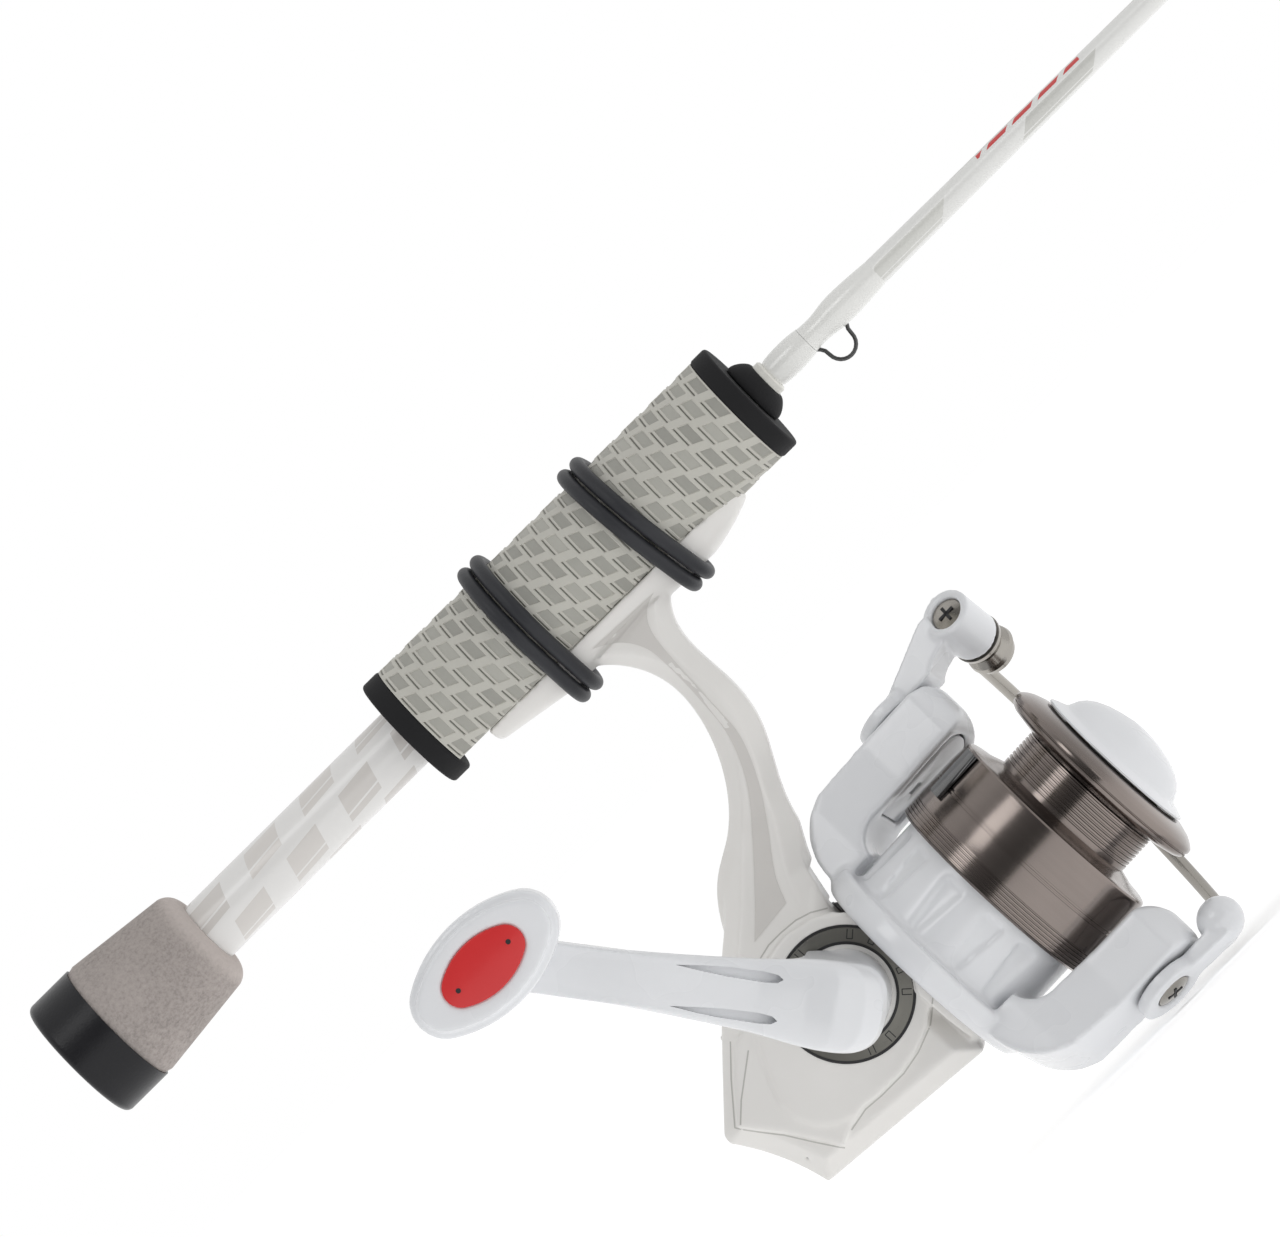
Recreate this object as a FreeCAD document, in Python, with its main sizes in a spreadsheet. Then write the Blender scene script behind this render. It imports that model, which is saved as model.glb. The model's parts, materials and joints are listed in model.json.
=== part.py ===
import FreeCAD, Part
import math
import os
import Sketcher

# Ice fishing rod with a spinning reel held on its grip by rubber bands.
#
# Row frame, in millimetres: the origin is the centre of the butt's end face, +X runs along the rod to
# its tip, +Z is up, the reel hangs towards -Z and its crank stands on the -Y side.
#
# Three tilted frames are used for the pieces that turn:
#     reel frame   X along the rotor axis towards the front of the spool, Y across, Z towards the rod
#     rotor frame  the reel frame turned about X, with Z along the bail arm that carries the line roller
#     crank frame  X out of the housing along the crank shaft, Z up

SIZES = [
    # rod: places along X, measured from the butt face, and radii round the rod axis
    ("rod_length", 660, "butt face to the end of the tip ring"),
    ("cap_length", 9, "rubber butt cap"),
    ("cap_radius", 11.55, ""),
    ("cap_floor", 3, "thickness of the cap's end"),
    ("butt_end", 29.9, "front end of the foam butt"),
    ("butt_radius", 11.45, "rear of the foam"),
    ("butt_front_radius", 9.3, "front of the foam"),
    ("butt_tenon_radius", 9.6, "stub that the cap grips"),
    ("edge_round", 1.2, "rounded edges of rubber and foam"),
    ("tube_radius", 5.45, "handle tube, outside"),
    ("tube_bore", 4.2, ""),
    ("tube_socket", 40, "depth of the blank's seat in the tube"),
    ("rear_ring_start", 75.2, ""),
    ("sleeve_start", 78.9, ""),
    ("sleeve_end", 149.4, ""),
    ("sleeve_radius", 10.5, ""),
    ("front_ring_end", 152.8, ""),
    ("ring_radius", 10.65, "the two black grip rings"),
    ("seat_height", 8.6, "rod axis to the flat that the reel foot lies on"),
    ("seat_rear", 84.4, "ends of the flat"),
    ("seat_front", 141.8, ""),
    ("seat_ramp", 2.2, "length of the slope at each end of the flat"),
    ("collar_radius", 5.7, "domed winding check in front of the grip"),
    ("collar_end", 156.2, ""),
    ("check_radius", 3.1, "cream ring in front of the collar"),
    ("check_end", 157.5, ""),
    ("rear_wrap_end", 165.3, ""),
    ("front_wrap_start", 166, ""),
    ("front_wrap_peak", 173, ""),
    ("front_wrap_end", 181.5, ""),
    ("wrap_small", 2.2, "wrap radii"),
    ("wrap_large", 2.6, ""),
    ("wrap_front", 2.42, ""),
    ("blank_butt_radius", 2.1, "blank inside the handle"),
    ("blank_radius", 2.34, "blank in front of the wraps"),
    ("blank_mid", 242, "places where the blank's taper changes"),
    ("blank_mid_radius", 1.98, ""),
    ("blank_slim", 420, ""),
    ("blank_slim_radius", 1.25, ""),
    ("blank_tip_radius", 0.65, ""),
    ("fit_gap", 0.05, "radial gap between glued or pressed pieces"),
    # hook keeper
    ("keeper_wire", 0.36, "wire radius"),
    ("keeper_rear", 166.4, "the two legs of the loop"),
    ("keeper_front", 171.3, ""),
    ("keeper_drop", 6.7, "rod axis to the bottom of the loop"),
    ("keeper_foot", 4.5, "length of each foot under the wraps"),
    # rubber bands round the grip and the reel foot
    ("band_wire", 1.15, "radius of the rubber section"),
    ("band_foot_drop", 7.6, "rod axis to the centre of the lower round"),
    ("band_rear", 99.8, "first band of the rear pair"),
    ("band_front", 123.9, "first band of the front pair"),
    ("band_pitch", 2.8, "from one band to the next"),
    ("band_lean", 6, "lean of the front pair, degrees"),
    # reel foot and stem
    ("foot_rear", 85, ""),
    ("foot_front", 141, ""),
    ("foot_rear_radius", 3.9, "the foot is a bar of round section, cut flat on top"),
    ("foot_mid_radius", 5.9, ""),
    ("foot_front_radius", 6.3, ""),
    ("foot_tip_radius", 3.4, ""),
    ("stem_bevel", 2.9, "bevel from the edge to the flat side"),
    # reel frame
    ("reel_x", 139.57, "front edge of the spool skirt on the rotor axis, in the row frame"),
    ("reel_z", -83.21, ""),
    ("reel_tilt", 2.7, "rise of the rotor axis towards the tip, degrees"),
    ("rotor_phase", 20, "turn of the bail arms about the rotor axis, degrees"),
    ("crank_back", 42.4, "crank axis behind the reel origin"),
    ("crank_lift", 6.5, "crank axis above the rotor axis"),
    # housing
    ("case_half", 6.2, "half width of the housing's edge"),
    ("case_bevel", 3.6, "bevel from the edge to the side panel"),
    ("bevel_angle", 42, "degrees"),
    ("neck_radius", 15.2, "round front of the housing inside the rotor"),
    ("neck_front", -27.4, "front face of the neck, reel X"),
    ("nose_radius", 8.6, "nose that holds the pinion bearing"),
    ("nose_front", -23.6, ""),
    ("boss_radius", 13.2, "round panel under the bezel"),
    ("boss_face", 10.4, "outer face of that panel from the reel's centre plane"),
    ("bezel_radius", 11.2, ""),
    ("bezel_bore", 8, ""),
    ("bezel_height", 1, ""),
    ("cover_height", 1.7, "thickness of the side cover"),
    # gears
    ("drive_teeth", 52, "crown gear"),
    ("pinion_teeth", 10, ""),
    ("pinion_radius", 2.15, "pitch radius"),
    ("pinion_shank", 2.9, "plain part of the pinion, in its bearing and the rotor"),
    ("tooth_face", 2.0, "width of the toothed band"),
    ("main_shaft_radius", 1.25, ""),
    ("running_gap", 0.05, "radial clearance of turning fits"),
    ("drive_shaft_radius", 3.4, ""),
    ("bearing_radius", 5.5, ""),
    ("bearing_width", 2.6, ""),
    ("slow_teeth", 12, "small gear on the drive shaft"),
    ("cross_teeth", 20, "oscillation gear"),
    ("cross_module", 0.8, ""),
    ("cross_drop", 3.9, "oscillation gear axis below the crank axis"),
    ("spool_stroke", 7, "travel of the spool"),
    # rotor
    ("hub_radius", 17.2, ""),
    ("rim_radius", 20.4, "rear rim of the rotor bowl"),
    ("rim_rear", -32.9, ""),
    ("rim_front", -28.1, ""),
    ("arm_inside", 21, "rotor axis to the inner face of an arm"),
    ("arm_outside", 31, ""),
    ("pivot_back", 6.5, "bail pivots behind the reel origin"),
    ("arm_tip_radius", 9.1, "round end of an arm about the pivot"),
    ("arm_half", 7.4, "half width of an arm near the pivot"),
    ("arm_root_half", 9.4, "half width where it leaves the bowl"),
    ("spring_radius", 3.2, "bail spring"),
    ("spring_wire", 0.35, ""),
    # spool
    ("skirt_radius", 19.35, ""),
    ("skirt_front_radius", 19.05, ""),
    ("skirt_rear", -15.5, ""),
    ("skirt_inside", 18.1, ""),
    ("arbor_radius", 13, ""),
    ("lip_rear", 8, ""),
    ("lip_radius", 18.75, ""),
    # bail
    ("lever_inner", 31.5, "inner face of the bail levers from the rotor axis"),
    ("wire_radius", 1.15, ""),
    ("roller_radius", 4.3, ""),
    ("head_radius", 4.25, ""),
    # crank and knob
    ("crank_length", 55.6, "crank axis to knob axis"),
    ("crank_turn", 126.5, "direction of the crank arm from +X towards +Z, degrees"),
    ("crank_hub_radius", 7.35, ""),
]

doc = FreeCAD.newDocument("IceFishingRod")
sheet = doc.addObject("Spreadsheet::Sheet", "Sizes")


def add_size(alias, value, meaning=""):
    """Write one driving dimension in the next row of the sheet."""
    row = add_size.next_row
    add_size.next_row += 1
    sheet.set("A%d" % row, alias)
    sheet.set("B%d" % row, str(value))
    sheet.set("C%d" % row, meaning)
    sheet.setAlias("B%d" % row, alias)


add_size.next_row = 1
for entry in SIZES:
    add_size(*entry)
doc.recompute()


def value(expression):
    """Number that an expression of sheet aliases stands for."""
    if isinstance(expression, (int, float)):
        return float(expression)
    return float(sheet.evalExpression(expand(expression)))


def expand(expression):
    """Put the sheet's name in front of every alias."""
    words = []
    word = ""
    for letter in expression + " ":
        if letter.isalnum() or letter in "_.":
            word += letter
            continue
        words.append("Sizes." + word if "_" in word else word)
        word = ""
        words.append(letter)
    return "".join(words).strip()


# ---------------------------------------------------------------- frames

def turned(x, y, z, axis, degrees):
    return FreeCAD.Placement(FreeCAD.Vector(x, y, z), FreeCAD.Rotation(FreeCAD.Vector(*axis), degrees))


ROW = FreeCAD.Placement()
REEL = turned(value("reel_x"), 0, value("reel_z"), (0, 1, 0), -value("reel_tilt"))
ROTOR = REEL.multiply(turned(0, 0, 0, (1, 0, 0), -value("rotor_phase")))


# ---------------------------------------------------------------- sketches and features

def new_body(label, placement=ROW):
    body = doc.addObject("PartDesign::Body", label)
    body.Label = label
    body.Placement = placement
    return body


def origin_plane(body, role):
    return next(item for item in body.Origin.OriginFeatures if item.Role == role)


def new_sketch(body, plane="XZ_Plane", offset=None):
    """Sketch on an origin plane. XZ sketches have x = X, y = Z and look along +Y."""
    sketch = body.newObject("Sketcher::SketchObject", body.Label + "_sketch")
    sketch.AttachmentSupport = [(origin_plane(body, plane), "")]
    sketch.MapMode = "FlatFace"
    if offset is not None:
        sketch.AttachmentOffset = offset
    return sketch


def arc_between(start, end, radius):
    """Minor arc; a positive radius turns left on the way from start to end."""
    chord = end - start
    middle = (start + end) * 0.5
    side = FreeCAD.Vector(-chord.y, chord.x, 0).normalize()
    rise = math.sqrt(max(radius ** 2 - (chord.Length / 2) ** 2, 0))
    centre = middle + side * math.copysign(rise, radius)
    bulge = middle - side * math.copysign(abs(radius) - rise, radius)
    return centre, Part.Arc(start, bulge, end)


def outline(sketch, points):
    """Closed outline. Each point is (x, y) or (x, y, radius of the arc that arrives there)."""
    vertices = [FreeCAD.Vector(value(point[0]), value(point[1]), 0) for point in points]
    first = sketch.GeometryCount
    count = len(points)
    starts = []
    for index, point in enumerate(points):
        start = vertices[index - 1]
        end = vertices[index]
        if len(point) == 2:
            sketch.addGeometry(Part.LineSegment(start, end))
            starts.append(1)
            continue
        centre, arc = arc_between(start, end, value(point[2]))
        geometry = sketch.addGeometry(arc)
        begins_here = sketch.getPoint(geometry, 1).distanceToPoint(start) < 1e-6
        starts.append(1 if begins_here else 2)
        if abs(value(point[2])) * 2 < start.distanceToPoint(end) * 1.0001:
            sketch.addConstraint(Sketcher.Constraint("Symmetric", geometry, 1, geometry, 2, geometry, 3))
            continue
        radius = sketch.addConstraint(Sketcher.Constraint("Radius", geometry, abs(value(point[2]))))
        if isinstance(point[2], str):
            sketch.setExpression("Constraints[%d]" % radius, expand("abs(" + point[2] + ")"))
    for index in range(count):
        here = first + index
        following = first + (index + 1) % count
        end_of_here = 3 - starts[index]
        start_of_next = starts[(index + 1) % count]
        sketch.addConstraint(Sketcher.Constraint("Coincident", here, end_of_here, following, start_of_next))
        for kind, item in (("DistanceX", points[index][0]), ("DistanceY", points[index][1])):
            fixed = sketch.addConstraint(
                Sketcher.Constraint(kind, -1, 1, here, end_of_here, value(item)))
            if isinstance(item, str):
                sketch.setExpression("Constraints[%d]" % fixed, expand(item))


def circle(sketch, x, y, radius):
    centre = FreeCAD.Vector(value(x), value(y), 0)
    geometry = sketch.addGeometry(Part.Circle(centre, FreeCAD.Vector(0, 0, 1), value(radius)))
    for kind, item in (("DistanceX", x), ("DistanceY", y)):
        fixed = sketch.addConstraint(Sketcher.Constraint(kind, -1, 1, geometry, 3, value(item)))
        if isinstance(item, str):
            sketch.setExpression("Constraints[%d]" % fixed, expand(item))
    size = sketch.addConstraint(Sketcher.Constraint("Radius", geometry, value(radius)))
    if isinstance(radius, str):
        sketch.setExpression("Constraints[%d]" % size, expand(radius))


def mirror_points(points):
    """The same outline on the other side of the sketch's x axis."""
    flipped = []
    for point in points:
        across = "-(" + point[1] + ")" if isinstance(point[1], str) else -point[1]
        flipped.append((point[0], across) if len(point) == 2 else (point[0], across, -point[2]))
    return flipped


def sized(feature, name, amount):
    """Give a feature's length or angle, bound to the sheet when it is an expression."""
    if isinstance(amount, str):
        feature.setExpression(name, expand(amount))
        setattr(feature, name, value(amount))
    else:
        setattr(feature, name, amount)


def spin(body, points, axis="H_Axis", cut=False, angle=360, plane="XZ_Plane", offset=None):
    """Revolution, or groove when cut, of an outline about an axis of its sketch."""
    sketch = new_sketch(body, plane, offset)
    outline(sketch, points)
    kind = "PartDesign::Groove" if cut else "PartDesign::Revolution"
    feature = body.newObject(kind, body.Label + "_turn")
    feature.Profile = sketch
    feature.ReferenceAxis = (sketch, [axis])
    feature.Angle = angle
    return feature


def extrude(body, sketch, length, cut=False, both=False, reverse=False, taper=0):
    """Pad, or pocket when cut, of a sketch."""
    kind = "PartDesign::Pocket" if cut else "PartDesign::Pad"
    feature = body.newObject(kind, body.Label + "_pad")
    feature.Profile = sketch
    sized(feature, "Length", length)
    feature.SideType = "Symmetric" if both else "One side"
    feature.Reversed = reverse
    feature.TaperAngle = taper
    return feature


def shift(distance):
    """Offset of a sketch along its own normal."""
    return FreeCAD.Placement(FreeCAD.Vector(0, 0, distance), FreeCAD.Rotation())


def pad(body, points, length, plane="XZ_Plane", at=0, **options):
    sketch = new_sketch(body, plane, shift(at))
    outline(sketch, points)
    return extrude(body, sketch, length, **options)


def disc(body, x, y, radius, length, plane="XZ_Plane", at=0, **options):
    sketch = new_sketch(body, plane, shift(at))
    circle(sketch, x, y, radius)
    return extrude(body, sketch, length, **options)


def faceted(body, points, half, bevel):
    """Symmetric slab across Y with a bevelled border on both sides, as on the reel's castings."""
    pad(body, points, "2 * " + half, both=True)
    angle = value("bevel_angle")
    pad(body, points, bevel, at=value(half), taper=-angle)
    pad(body, points, bevel, at=-value(half), reverse=True, taper=-angle)


def repeat_round(body, feature, count, axis_plane_role):
    """Polar pattern of a feature about one of the body's own axes."""
    pattern = body.newObject("PartDesign::PolarPattern", body.Label + "_pattern")
    pattern.Originals = [feature]
    pattern.Axis = (origin_plane(body, axis_plane_role), [""])
    pattern.Angle = 360
    pattern.Occurrences = count
    body.Tip = pattern
    return pattern


def group(label, pieces):
    """Several loose solids that share one node."""
    compound = doc.addObject("Part::Compound", label)
    compound.Label = label
    compound.Links = pieces
    return compound


NODES = []


def node(item):
    NODES.append(item)
    return item


def turned_piece(label, points, placement=ROW, **options):
    body = new_body(label, placement)
    spin(body, points, **options)
    return node(body)


def bush(label, start, end, outer, bore, placement=ROW):
    """Plain ring round the X axis of its frame."""
    return turned_piece(label, [(start, bore), (end, bore), (end, outer), (start, outer)], placement)


# ---------------------------------------------------------------- rod

def make_handle():
    body = node(new_body("butt_cap"))
    spin(body, [(0, 0), ("cap_floor", 0), ("cap_floor", "butt_tenon_radius + fit_gap"),
                ("cap_length", "butt_tenon_radius + fit_gap"), ("cap_length", "cap_radius"),
                ("edge_round", "cap_radius"), (0, "cap_radius - edge_round", "edge_round")])
    turned_piece("butt_foam", [
        ("cap_floor", "tube_radius + fit_gap"), ("butt_end", "tube_radius + fit_gap"),
        ("butt_end", "butt_front_radius - 2 * edge_round"),
        ("butt_end - 2 * edge_round", "butt_front_radius + 0.2", "2.6 * edge_round"),
        ("cap_length + edge_round", "butt_radius"), ("cap_length", "butt_radius - 0.3"),
        ("cap_length", "butt_tenon_radius"), ("cap_floor", "butt_tenon_radius")])
    socket = "front_ring_end - 1 - tube_socket"
    turned_piece("handle_tube", [
        ("cap_floor + 0.4", "tube_bore"), (socket, "tube_bore"), (socket, "blank_butt_radius + fit_gap"),
        ("front_ring_end - 1", "blank_butt_radius + fit_gap"), ("front_ring_end - 1", "tube_radius"),
        ("cap_floor + 0.4", "tube_radius")])
    for label, start, end in (("grip_rear_ring", "rear_ring_start", "sleeve_start"),
                              ("grip_front_ring", "sleeve_end", "front_ring_end")):
        turned_piece(label, [
            (start, "tube_radius + fit_gap"), (end, "tube_radius + fit_gap"), (end, "ring_radius - 0.6"),
            (end + " - 0.6", "ring_radius", 0.6), (start + " + 0.6", "ring_radius"),
            (start, "ring_radius - 0.6", 0.6)])
    sleeve = new_body("grip_sleeve")
    spin(sleeve, [("sleeve_start", "tube_radius + fit_gap"), ("sleeve_end", "tube_radius + fit_gap"),
                  ("sleeve_end", "sleeve_radius"), ("sleeve_start", "sleeve_radius")])
    pad(sleeve, [("seat_rear", "-seat_height"), ("seat_rear - seat_ramp", "-sleeve_radius - 1"),
                 ("seat_front + seat_ramp", "-sleeve_radius - 1"), ("seat_front", "-seat_height")],
        "3 * sleeve_radius", cut=True, both=True)
    node(sleeve)


def make_blank():
    turned_piece("rod_blank", [
        ("front_ring_end - tube_socket", 0), ("rod_length - 6", 0), ("rod_length - 6", "blank_tip_radius"),
        ("blank_slim", "blank_slim_radius"), ("blank_mid", "blank_mid_radius"),
        ("front_wrap_end", "blank_radius"), ("front_wrap_start", "blank_butt_radius"),
        ("front_ring_end - tube_socket", "blank_butt_radius")])
    bore = "blank_butt_radius + fit_gap"
    turned_piece("front_collar", [
        ("front_ring_end", bore), ("collar_end", bore), ("collar_end", "collar_radius - 2"),
        ("front_ring_end + 0.8", "collar_radius", "1.4 * (collar_end - front_ring_end)"),
        ("front_ring_end", "collar_radius")])
    turned_piece("check_ring", [
        ("collar_end", bore), ("check_end", bore), ("check_end", "check_radius - 0.3"),
        ("check_end - 0.3", "check_radius"), ("collar_end", "check_radius")])
    turned_piece("rear_wrap", [
        ("check_end", bore), ("rear_wrap_end", bore), ("rear_wrap_end", "wrap_large - 0.1"),
        ("check_end", "wrap_small + 0.2")])
    turned_piece("front_wrap", [
        ("front_wrap_start", "blank_butt_radius + fit_gap"), ("front_wrap_end", "blank_radius + fit_gap"),
        ("front_wrap_peak", "wrap_large"), ("front_wrap_start", "wrap_small + 0.1")])


def wire_path(sketch, points):
    """Open path; an entry with a third value arrives by an arc of that radius."""
    spots = [FreeCAD.Vector(value(point[0]), value(point[1]), 0) for point in points]
    for index in range(1, len(points)):
        start = spots[index - 1]
        end = spots[index]
        if len(points[index]) == 2:
            sketch.addGeometry(Part.LineSegment(start, end))
        else:
            sketch.addGeometry(arc_between(start, end, value(points[index][2]))[1])
    for index in range(sketch.GeometryCount):
        sketch.addConstraint(Sketcher.Constraint("Block", index))


def bent_wire(body, path_plane, points, start_plane, start_offset, radius):
    """Round wire along a path: the section's sketch stands at the first point."""
    path = new_sketch(body, path_plane)
    wire_path(path, points)
    section = new_sketch(body, start_plane, start_offset)
    circle(section, 0, 0, radius)
    pipe = body.newObject("PartDesign::AdditivePipe", body.Label + "_pipe")
    pipe.Profile = section
    pipe.Spine = path
    return pipe


def make_hook_keeper():
    body = node(new_body("hook_keeper"))
    top = -value("wrap_large") - value("keeper_wire") - 0.02
    bottom = -value("keeper_drop")
    rear = value("keeper_rear")
    front = value("keeper_front")
    foot = value("keeper_foot")
    bend = 0.9
    half = (front - rear) / 2
    bent_wire(body, "XZ_Plane", [
        (rear - foot, top), (rear - bend, top), (rear, top - bend, -bend),
        (rear, bottom + half), (rear + half, bottom, half), (front, bottom + half, half),
        (front, top - bend), (front + bend, top, -bend), (front + foot, top)],
        "YZ_Plane", FreeCAD.Placement(FreeCAD.Vector(0, top, rear - foot), FreeCAD.Rotation()),
        "keeper_wire")


def make_band(label, x, lean):
    """Band in its own plane: the large round hugs the grip, the small one the reel foot."""
    body = new_body(label, turned(x, 0, 0, (0, 1, 0), lean))
    loop = value("band_wire") + 0.12
    large = value("sleeve_radius") + loop
    small = value("foot_front_radius") + loop
    drop = value("band_foot_drop")
    slope = math.asin((large - small) / drop)
    side = math.cos(slope)
    dip = math.sin(slope)
    upper = (large * side, -large * dip)
    lower = (small * side, -drop - small * dip)
    path = new_sketch(body, "YZ_Plane")
    wire_path(path, [(0, large), (-upper[0], upper[1], large)])
    corners = [FreeCAD.Vector(a, b, 0) for a, b in (
        (-upper[0], upper[1]), (-lower[0], lower[1]), (lower[0], lower[1]), (upper[0], upper[1]))]
    path.addGeometry(Part.LineSegment(corners[0], corners[1]))
    path.addGeometry(Part.Arc(corners[1], FreeCAD.Vector(0, -drop - small, 0), corners[2]))
    path.addGeometry(Part.LineSegment(corners[2], corners[3]))
    path.addGeometry(arc_between(corners[3], FreeCAD.Vector(0, large, 0), large)[1])
    for index in range(1, path.GeometryCount):
        path.addConstraint(Sketcher.Constraint("Block", index))
    section = new_sketch(body, "XZ_Plane")
    circle(section, 0, large, "band_wire")
    pipe = body.newObject("PartDesign::AdditivePipe", label + "_pipe")
    pipe.Profile = section
    pipe.Spine = path
    return body


def make_bands():
    pitch = value("band_pitch")
    for pair, start, lean in (("rear", value("band_rear"), 0),
                              ("front", value("band_front"), value("band_lean"))):
        node(group(pair + "_bands", [
            make_band("%s_band_%d" % (pair, index + 1), start + index * pitch, lean) for index in range(2)]))


# distance from the tip, ring radius, height of the ring centre below the blank
GUIDES = [(320, 5.2, 11.5), (215, 4.2, 9.5), (130, 3.4, 8), (60, 2.8, 7)]


def blank_radius_at(x):
    """Radius of the tapered blank at a place along the rod."""
    stops = [("front_wrap_end", "blank_radius"), ("blank_mid", "blank_mid_radius"),
             ("blank_slim", "blank_slim_radius"), ("rod_length", "blank_tip_radius")]
    for (x0, r0), (x1, r1) in zip(stops, stops[1:]):
        if x <= value(x1):
            share = (x - value(x0)) / (value(x1) - value(x0))
            return value(r0) + share * (value(r1) - value(r0))
    return value("blank_tip_radius")


def make_guides():
    wraps = []
    for number, (from_tip, ring, height) in enumerate(GUIDES, 1):
        x = value("rod_length") - from_tip
        under = blank_radius_at(x - 6) + 0.05
        frame = new_body("guide_frame_%d" % number, turned(x, 0, 0, (0, 1, 0), 0))
        brace = ring * 0.55
        sketch = new_sketch(frame, "YZ_Plane", shift(-0.45))
        circle(sketch, 0, -height, ring)
        extrude(frame, sketch, 0.9)
        pad(frame, [(-0.9, -under), (-brace, -height + ring * 0.7), (brace, -height + ring * 0.7),
                    (0.9, -under)], 0.9, plane="YZ_Plane", at=-0.45)
        pad(frame, [(-12, -under), (0.45, -under), (0.45, -under - 0.8), (-9, -under - 0.7)],
            1.6, both=True)
        sketch = new_sketch(frame, "YZ_Plane", shift(2))
        circle(sketch, 0, -height, ring - 0.7)
        extrude(frame, sketch, 4, cut=True)
        node(frame)
        insert = new_body("guide_ring_%d" % number, turned(x, 0, -height, (0, 1, 0), 0))
        outer = ring - 0.75
        spin(insert, [(-0.7, outer - 0.9), (0.7, outer - 0.9, 0.9), (0.7, outer), (-0.7, outer)])
        node(insert)
        wrap = new_body("guide_wrap_%d" % number, turned(x - 6.5, 0, 0, (0, 1, 0), 0))
        spin(wrap, [(-5, under), (4.4, under), (4.4, under + 1.2), (-4, under + 1.2)])
        pad(wrap, [(-6, 0), (-6, -under - 0.85), (5, -under - 0.85), (5, 0)], 1.7, cut=True, both=True)
        wraps.append(wrap)
    node(group("guide_wraps", wraps))


def make_tip():
    """Tube over the end of the blank, with a ring held below it."""
    tip = new_body("tip_frame")
    bore = "blank_tip_radius + fit_gap"
    spin(tip, [("rod_length - 14", "blank_tip_radius + 0.12"), ("rod_length - 5.5", bore),
               ("rod_length - 5.5", "blank_tip_radius + 0.5"), ("rod_length - 14", "blank_tip_radius + 0.5")])
    drop = 3.9
    ring = 2.9
    x = value("rod_length") - 0.6
    disc(tip, 0, -drop, ring, 1.1, plane="YZ_Plane", at=x - 0.5)
    pad(tip, [("rod_length - 9", "-blank_tip_radius - 0.4"), ("rod_length - 5.4", "-blank_tip_radius - 0.1"),
              ("rod_length - 5.4", -0.6), ("rod_length - 0.6", -1.2), ("rod_length - 0.6", -2.2)],
        0.9, both=True)
    disc(tip, 0, -drop, ring - 0.6, 3, plane="YZ_Plane", at=x + 1.5, cut=True)
    node(tip)
    insert = new_body("tip_ring", turned(x, 0, -drop, (0, 1, 0), 0))
    outer = ring - 0.65
    spin(insert, [(-0.6, outer - 0.7), (0.6, outer - 0.7, 0.7), (0.6, outer), (-0.6, outer)])
    node(insert)


# ---------------------------------------------------------------- reel housing

def reel_offset(at=0):
    """Offset that lays an XZ sketch of a row-frame body on the reel frame."""
    place = FreeCAD.Vector(value("reel_x"), value("reel_z"), at)
    return FreeCAD.Placement(place, FreeCAD.Rotation(FreeCAD.Vector(0, 0, 1), value("reel_tilt")))


def reel_cut(body, points, from_y, depth):
    """Pocket drawn in the reel frame, sunk from a plane towards the crank side."""
    sketch = new_sketch(body, "XZ_Plane", reel_offset(-from_y))
    if isinstance(points, tuple):
        circle(sketch, *points)
    else:
        outline(sketch, points)
    return extrude(body, sketch, depth, cut=True, reverse=True)


# stations down the stem, then down the shoulder: rear edge, front edge and half width, in the row frame
STEM = [
    ((103.2, -12.6), (122.2, -12.6), 5), ((107.6, -16.2), (119.2, -16.2), 5),
    ((110.3, -21), (118, -21.6), 5), ((111.1, -28), (118.4, -29.4), 5),
    ((108, -38.2), (117, -38.8), 5), ((100, -47.8), (111.4, -50.2), 5),
    ((89, -58.4), (105.6, -60.4), 5), ((76.5, -69.6), (104.6, -74), 5)]
SHOULDER = [
    ((99.9, -48), (111.3, -50.4), 5.05), ((90.6, -57), (106.2, -59.6), 7.6),
    ((82.2, -64.2), (104.7, -66.4), 9.6), ((79.6, -66.5), (104.5, -69), 9.7)]
# side outline of the housing in the row frame; a third value is the radius of an arc
CASE = [
    (84.5, -62.2), (104.9, -63), (104.5, -67), (106.1, -100.8), (73.3, -98.3), (66.2, -82.8, 42),
    (66.5, -81.3)]
CAVITY = [(-66, -7.5), (-67.5, 0), (-65.5, 6.5), (-57.5, 13.8), (-36.2, 14.2), (-36.2, -9.6), (-64.5, -8)]
ROTOR_SWEEP = [
    (-34.2, 15.4), (-34.2, 18.6), (-32.6, 21.8), (-30.2, 27), (-27, 32), (-15, 34), (-15, 15.4)]


def cut_rotor_sweep(body, offset):
    """Room for the rotor bowl to turn round the neck."""
    spin(body, ROTOR_SWEEP, cut=True, offset=offset)


def make_foot(body):
    """Bar of round section under the grip, tapered at both ends and cut flat on top."""
    drop = value("band_foot_drop")
    lowered = FreeCAD.Placement(FreeCAD.Vector(0, -drop, 0), FreeCAD.Rotation())
    spin(body, [
        ("foot_rear", 0), ("foot_front", 0), ("foot_front", "foot_tip_radius"),
        ("foot_front - 10", "foot_front_radius", 40), ("foot_rear + 14", "foot_mid_radius"),
        ("foot_rear + 1.5", "foot_rear_radius"), ("foot_rear", "foot_rear_radius - 1.5", 1.5)],
        offset=lowered)
    pad(body, [("foot_rear - 5", "-seat_height"), ("foot_rear - 5", 5), ("foot_front + 5", 5),
               ("foot_front + 5", "-seat_height")], 30, cut=True, both=True)


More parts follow.
